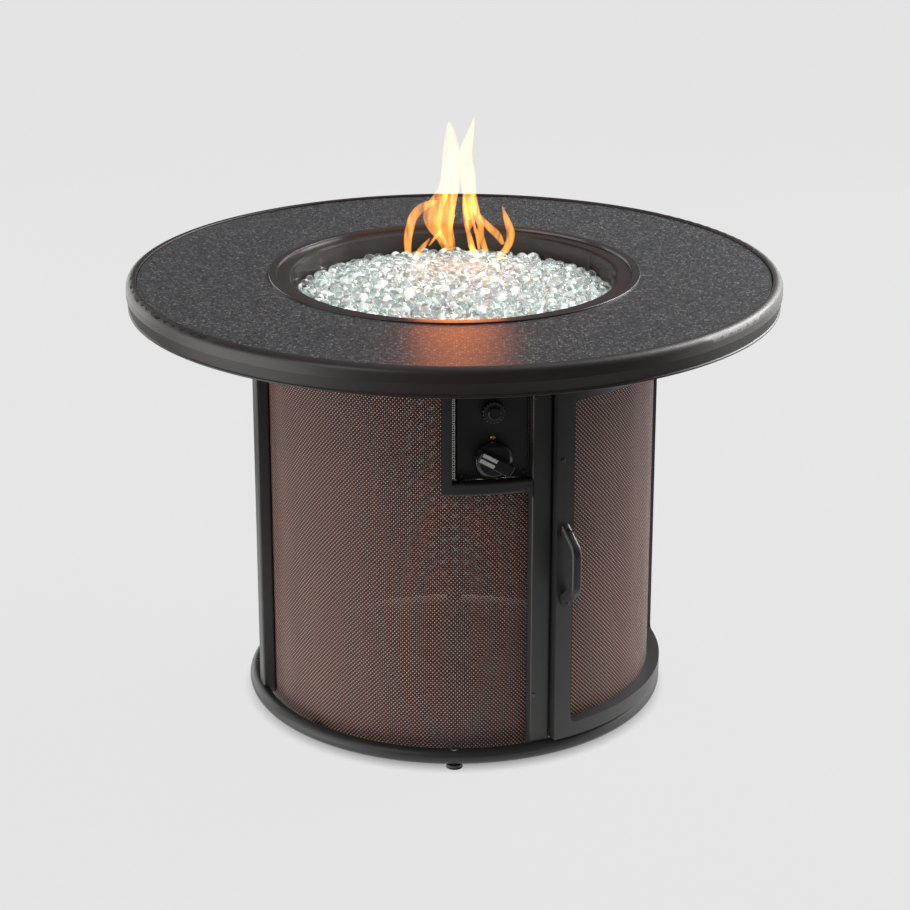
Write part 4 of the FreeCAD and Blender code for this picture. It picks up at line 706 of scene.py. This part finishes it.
class FIREPIT_OT_knob_painted_highlights(Operator):
    """Lay two light strips, a painted highlight, on the pointer half of the gas knob"""

    bl_idname = "firepit.knob_marks"
    bl_label = "Knob marks"

    def execute(self, context):
        joint = next(j for j in frame["joints"] if j["name"] == "knob_turn")
        out = Vector(joint["axis"]).normalized()
        right = out.cross(Vector((0, 0, -1))).normalized()
        centre = Vector(joint["pos_m"])
        knob = frame["nodes"]["gas_knob"].data
        front = max((vert.co - centre).dot(out) for vert in knob.vertices)
        along = right * math.cos(POINTER_TURN) + Vector((0, 0, math.sin(POINTER_TURN)))
        side = out.cross(along)
        outline = ((HIGHLIGHT_START, -HIGHLIGHT_HALF), (HIGHLIGHT_END, -HIGHLIGHT_HALF),
                   (HIGHLIGHT_END, HIGHLIGHT_HALF), (HIGHLIGHT_START, HIGHLIGHT_HALF))
        shape = bmesh.new()
        for place in (-HIGHLIGHT_SIDE, HIGHLIGHT_SIDE):
            low, high = (
                [shape.verts.new(centre + along * run + side * (place + across)
                                 + out * (front + level)) for run, across in outline]
                for level in (-HIGHLIGHT_SUNK, HIGHLIGHT_PROUD))
            shape.faces.new(low)
            shape.faces.new(high)
            for here in range(4):
                there = (here + 1) % 4
                shape.faces.new((low[here], low[there], high[there], high[here]))
        highlight_strips = add_object("knob_marks", mesh_from("knob_marks", shape, False))
        # The strips' pale grey is a highlight painted on the knob's glossy pointer
        highlight_strips.data.materials.append(
            moulded("knob_marks", (0.66, 0.66, 0.66), 0.35, 0.6 * MM, 0.08 * MM))
        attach(highlight_strips, "gas_knob")
        return {"FINISHED"}


# Each tongue of the flame, point by point: height over the flame's foot, place to the right
# and width, in millimetres
TONGUES = {
    "left_curl": [(0, -62, 9), (14, -63, 11), (28, -61, 12), (40, -58, 12), (48, -55, 13),
                  (56, -49, 13), (62, -41, 11), (66, -31, 9), (68, -22, 4)],
    "left_lobe": [(4, -7, 18), (14, -9, 22), (26, -14, 27), (35, -18, 36), (43, -20, 43),
                  (52, -21, 45), (62, -17, 39), (74, -11, 32), (86, -7, 28), (100, -5, 26),
                  (134, -4, 23), (150, -5, 17), (162, -6, 10), (170, -7, 3)],
    "left_streak": [(12, -12, 5), (26, -19, 6), (44, -20, 7), (60, -18, 8), (76, -13, 9),
                    (100, -8, 10), (134, -5, 8)],
    "left_inner_streak": [(10, -5, 4), (26, -7, 6), (46, -4, 8), (64, -2, 8), (84, 0, 10),
                          (104, 1, 9), (130, 0, 5)],
    "right_column": [(44, 20, 10), (56, 20, 20), (66, 21, 22), (76, 20, 20), (88, 19, 20),
                     (104, 17, 22), (120, 14, 20), (134, 15, 17), (148, 19, 12),
                     (162, 23, 7), (176, 26, 1)],
    "right_inner_strand": [(0, 26, 9), (14, 22, 9), (26, 19, 6), (40, 15, 6), (58, 13, 6),
                           (76, 14, 5), (96, 14, 3)],
    "right_web": [(30, 20, 2), (38, 20, 12), (48, 22, 19), (60, 22, 16), (74, 22, 8)],
    "right_strand": [(2, 42, 8), (14, 38, 9), (26, 34, 10), (36, 36, 9), (46, 31, 9),
                     (58, 29, 9), (70, 26, 8), (88, 23, 6), (110, 22, 5)],
    "right_middle_strand": [(6, 33, 4), (20, 31, 4), (34, 27, 4), (48, 24, 4), (60, 22, 3)],
    "right_lobe": [(50, 33, 5), (42, 39, 8), (34, 47, 10), (27, 55, 11), (20, 61, 9),
                   (12, 65, 5)],
    "right_curl": [(-6, 58, 8), (2, 67, 9), (14, 74, 11), (26, 76, 12), (36, 73, 11),
                   (46, 69, 8), (54, 66, 5), (62, 64, 1)],
    "low_left": [(-8, -54, 6), (2, -48, 7), (11, -40, 7), (20, -33, 1)],
    "low_left_hook": [(10, -34, 2), (20, -27, 4), (28, -19, 6)],
    "low_right": [(12, 20, 5), (4, 26, 9), (-6, 32, 8)],
}


# Where the flame starts, just over the middle of the bed, and the colour of its light
FLAME_FOOT = BED_TOP + 4 * MM
FLAME_LIGHT = (1.0, 0.19, 0.02)


def fire_material(flame):
    """Glow that fills the tongues, drawn out upwards into licks."""
    fire = bpy.data.materials.new("fire")
    fire.use_nodes = True
    board = Board(fire.node_tree)
    board.tree.nodes.clear()
    place = board.add("ShaderNodeTexCoord", output=3)
    upright = board.add("ShaderNodeMapping", {}, {"Vector": place, "Scale": (1, 0.2, 0.25)})
    licks = board.add("ShaderNodeTexNoise", {}, {
        "Vector": upright, "Scale": 150.0, "Detail": 1.0})
    glow = board.add("ShaderNodeEmission", {}, {
        "Color": (*flame.edge, 1), "Strength": flame.strength * (licks * 2.4 - 0.2)})
    board.add("ShaderNodeOutputMaterial", {}, {"Volume": glow})
    return fire


def tongue_mesh(name, points, flame):
    """One tongue along its listed course, flattened from front to back."""
    path = bpy.data.curves.new(name, "CURVE")
    path.dimensions = "3D"
    path.bevel_depth = 1.0
    path.bevel_resolution = 3
    path.resolution_u = 6
    path.use_fill_caps = True
    spline = path.splines.new("NURBS")
    spline.points.add(len(points) - 1)
    for point, (height, side, width) in zip(spline.points, points):
        point.co = (side * flame.slim * MM, 0, FLAME_FOOT + height * MM, 1)
        point.radius = width * flame.slim * MM / 2
    spline.order_u = 3
    spline.use_endpoint_u = True
    mesh = baked(add_object(name, path), name)
    widest = max(width for _, _, width in points) * MM
    for vert in mesh.vertices:
        depth = math.sqrt(abs(vert.co.y) * 2 / widest) * flame.deep / 2
        vert.co.y = math.copysign(depth, vert.co.y) + flame.back
    return mesh


def flame_light(kind, power, place, **sizes):
    """A light that stands in the flame and faces the front."""
    light = bpy.data.lights.new("flame_glow", kind)
    light.energy = power
    light.color = FLAME_LIGHT
    for name, value in sizes.items():
        setattr(light, name, value)
    lamp = bpy.data.objects.new("flame_glow", light)
    bpy.context.scene.collection.objects.link(lamp)
    lamp.location = place
    lamp.rotation_euler = (-math.pi / 2, 0, 0)
    lamp.visible_camera = False


class FIREPIT_OT_flame(Operator):
    """Light the flame over the beads; it is part of the studio, not of the table"""

    bl_idname = "firepit.flame"
    bl_label = "Flame"

    def execute(self, context):
        flame = context.scene.firepit_flame
        fire = fire_material(flame)
        for name, points in TONGUES.items():
            tongue = add_object("flame_" + name, tongue_mesh(name, points, flame))
            tongue.data.materials.clear()
            tongue.data.materials.append(fire)
        aside = 6 * MM
        flame_light("AREA", flame.glow, (aside, flame.back, FLAME_FOOT + 85 * MM),
                    shape="RECTANGLE", size=110 * MM, size_y=160 * MM)
        flame_light("POINT", flame.spill, (aside, flame.back, FLAME_FOOT + 50 * MM),
                    shadow_soft_size=22 * MM)
        return {"FINISHED"}


# Each soft light: its middle, what it points at, width, height and brightness
LIGHTS = {
    "left_box": ((-2.3, -0.75, 0.30), (0, 0, 0.35), 2.4, 2.6, 2.4),
    "left_rear_box": ((-1.9, 1.9, 0.7), (0, 0, 0.5), 1.8, 2.0, 2.5),
    "right_box": ((2.5, 0.55, 0.5), (0, 0, 0.5), 1.8, 2.4, 1.7),
    "right_rear_box": ((1.7, 2.2, 0.7), (0, 0, 0.5), 1.6, 2.2, 2.0),
    "upper_right_box": ((2.1, 1.2, 1.9), (0, 0, 0.3), 1.4, 1.4, 16.0),
    "overhead_box": ((0.2, 0.2, 2.6), (0, 0, 0.5), 2.4, 2.4, 0.45),
    "key": ((-1.6, -1.9, 2.4), (0, 0, 0.5), 0.3, 0.3, 45.0),
    "floor_card": ((0, 0, 0.001), (0, 0, 1), 1.3, 1.3, 0.8),
}


# Half width of the floor, and where the painted shadow inside the base ends and the even floor starts
FLOOR_REACH = 40
PAINTED_SHADOW_END, FLOOR_START = 236 * MM, 272 * MM


def studio_floor(studio):
    """Even pale floor that only the camera sees, with a painted shadow where the base stands on it."""
    shape = bmesh.new()
    bmesh.ops.create_grid(shape, x_segments=1, y_segments=1, size=FLOOR_REACH)
    floor = add_object("studio_floor", mesh_from("studio_floor", shape))
    finish = Finish("studio_floor")
    shade = finish.between(finish.noise(400 * MM, 2.0), darker(studio.floor, 0.004),
                           studio.floor)
    off_middle = finish.add("ShaderNodeVectorMath", {"operation": "LENGTH"},
                            {0: finish.place}, 1)
    # Painted shadow: inside the base the floor's glow falls to a tenth
    shade = finish.between(finish.steps(off_middle, (PAINTED_SHADOW_END, 0.0), (FLOOR_START, 1.0)),
                           darker(studio.floor, 0.9), shade)
    floor.data.materials.append(finish.close(
        base_color=(0.015, 0.015, 0.015), roughness=0.9, specular_ior_level=0.0,
        emission_color=shade, emission_strength=0.985))
    floor.visible_glossy = floor.visible_diffuse = False
    floor.visible_transmission = floor.visible_shadow = False


def studio_world(studio):
    """Dim surroundings, which are bright only for rays that pass through the glass."""
    world = bpy.data.worlds.new("studio")
    world.use_nodes = True
    sky = Board(world.node_tree)
    sky.tree.nodes.clear()
    through = sky.add("ShaderNodeLightPath", output=6)
    light = sky.add("ShaderNodeBackground", {}, {
        "Color": (1, 1, 1, 1), "Strength": studio.dim + studio.bright * through})
    sky.add("ShaderNodeOutputWorld", {}, {"Surface": light})
    return world


def soft_light(name, place, aim, width, height, bright):
    """A flat lit panel that the camera doesn't see."""
    light = bpy.data.lights.new(name, "AREA")
    light.shape = "RECTANGLE"
    light.size, light.size_y = width, height
    light.energy = math.pi * width * height * bright
    lamp = bpy.data.objects.new(name, light)
    bpy.context.scene.collection.objects.link(lamp)
    lamp.location = place
    lamp.rotation_euler = (Vector(aim) - Vector(place)).to_track_quat("-Z", "Y").to_euler()
    lamp.visible_camera = False


class FIREPIT_OT_stage(Operator):
    """Set up the floor, the soft lights and the camera"""

    bl_idname = "firepit.stage"
    bl_label = "Studio"

    def execute(self, context):
        studio = context.scene.firepit_studio
        scene = context.scene
        scene.view_settings.view_transform = "Standard"
        studio_floor(studio)
        scene.world = studio_world(studio)
        for name, settings in LIGHTS.items():
            soft_light(name, *settings)
        camera = bpy.data.objects.new("camera", bpy.data.cameras.new("camera"))
        scene.collection.objects.link(camera)
        camera.location = (studio.side, -studio.distance, studio.height)
        camera.rotation_euler = (math.pi / 2 - studio.pitch, 0, 0)
        camera.data.lens = studio.lens
        camera.data.shift_y = studio.shift
        scene.camera = camera
        return {"FINISHED"}


class FIREPIT_PT_sidebar(Panel):
    """Sidebar list of the fire pit table's pieces and their settings."""

    bl_idname = "FIREPIT_PT_sidebar"
    bl_label = "Fire Pit Table"
    bl_space_type = "VIEW_3D"
    bl_region_type = "UI"
    bl_category = "Fire Pit"

    def draw(self, context):
        for settings, operator in STEPS:
            box = self.layout.box()
            box.operator(operator.bl_idname)
            if settings:
                group = getattr(context.scene, settings)
                for name in group.__annotations__:
                    box.prop(group, name)


GROUPS = {
    "firepit_coat": CoatSettings,
    "firepit_glass": GlassSettings,
    "firepit_flame": FlameSettings,
    "firepit_studio": StudioSettings,
}
STEPS = (
    ("firepit_coat", FIREPIT_OT_coat_nodes),
    ("firepit_glass", FIREPIT_OT_glass_beads),
    ("", FIREPIT_OT_knob_painted_highlights),
    ("firepit_flame", FIREPIT_OT_flame),
    ("firepit_studio", FIREPIT_OT_stage),
)


def register():
    """Makes the settings, operators and sidebar known."""
    for group in GROUPS.values():
        bpy.utils.register_class(group)
    for name, group in GROUPS.items():
        setattr(bpy.types.Scene, name, PointerProperty(type=group))
    for _, operator in STEPS:
        bpy.utils.register_class(operator)
    bpy.utils.register_class(FIREPIT_PT_sidebar)


def unregister():
    """Takes them away again, last one first."""
    bpy.utils.unregister_class(FIREPIT_PT_sidebar)
    for _, operator in reversed(STEPS):
        bpy.utils.unregister_class(operator)
    for name, group in GROUPS.items():
        delattr(bpy.types.Scene, name)
        bpy.utils.unregister_class(group)


def main():
    """Builds the looks step by step."""
    register()
    for _, operator in STEPS:
        section, name = operator.bl_idname.split(".")
        getattr(getattr(bpy.ops, section), name)()


if __name__ == "__main__":
    main()
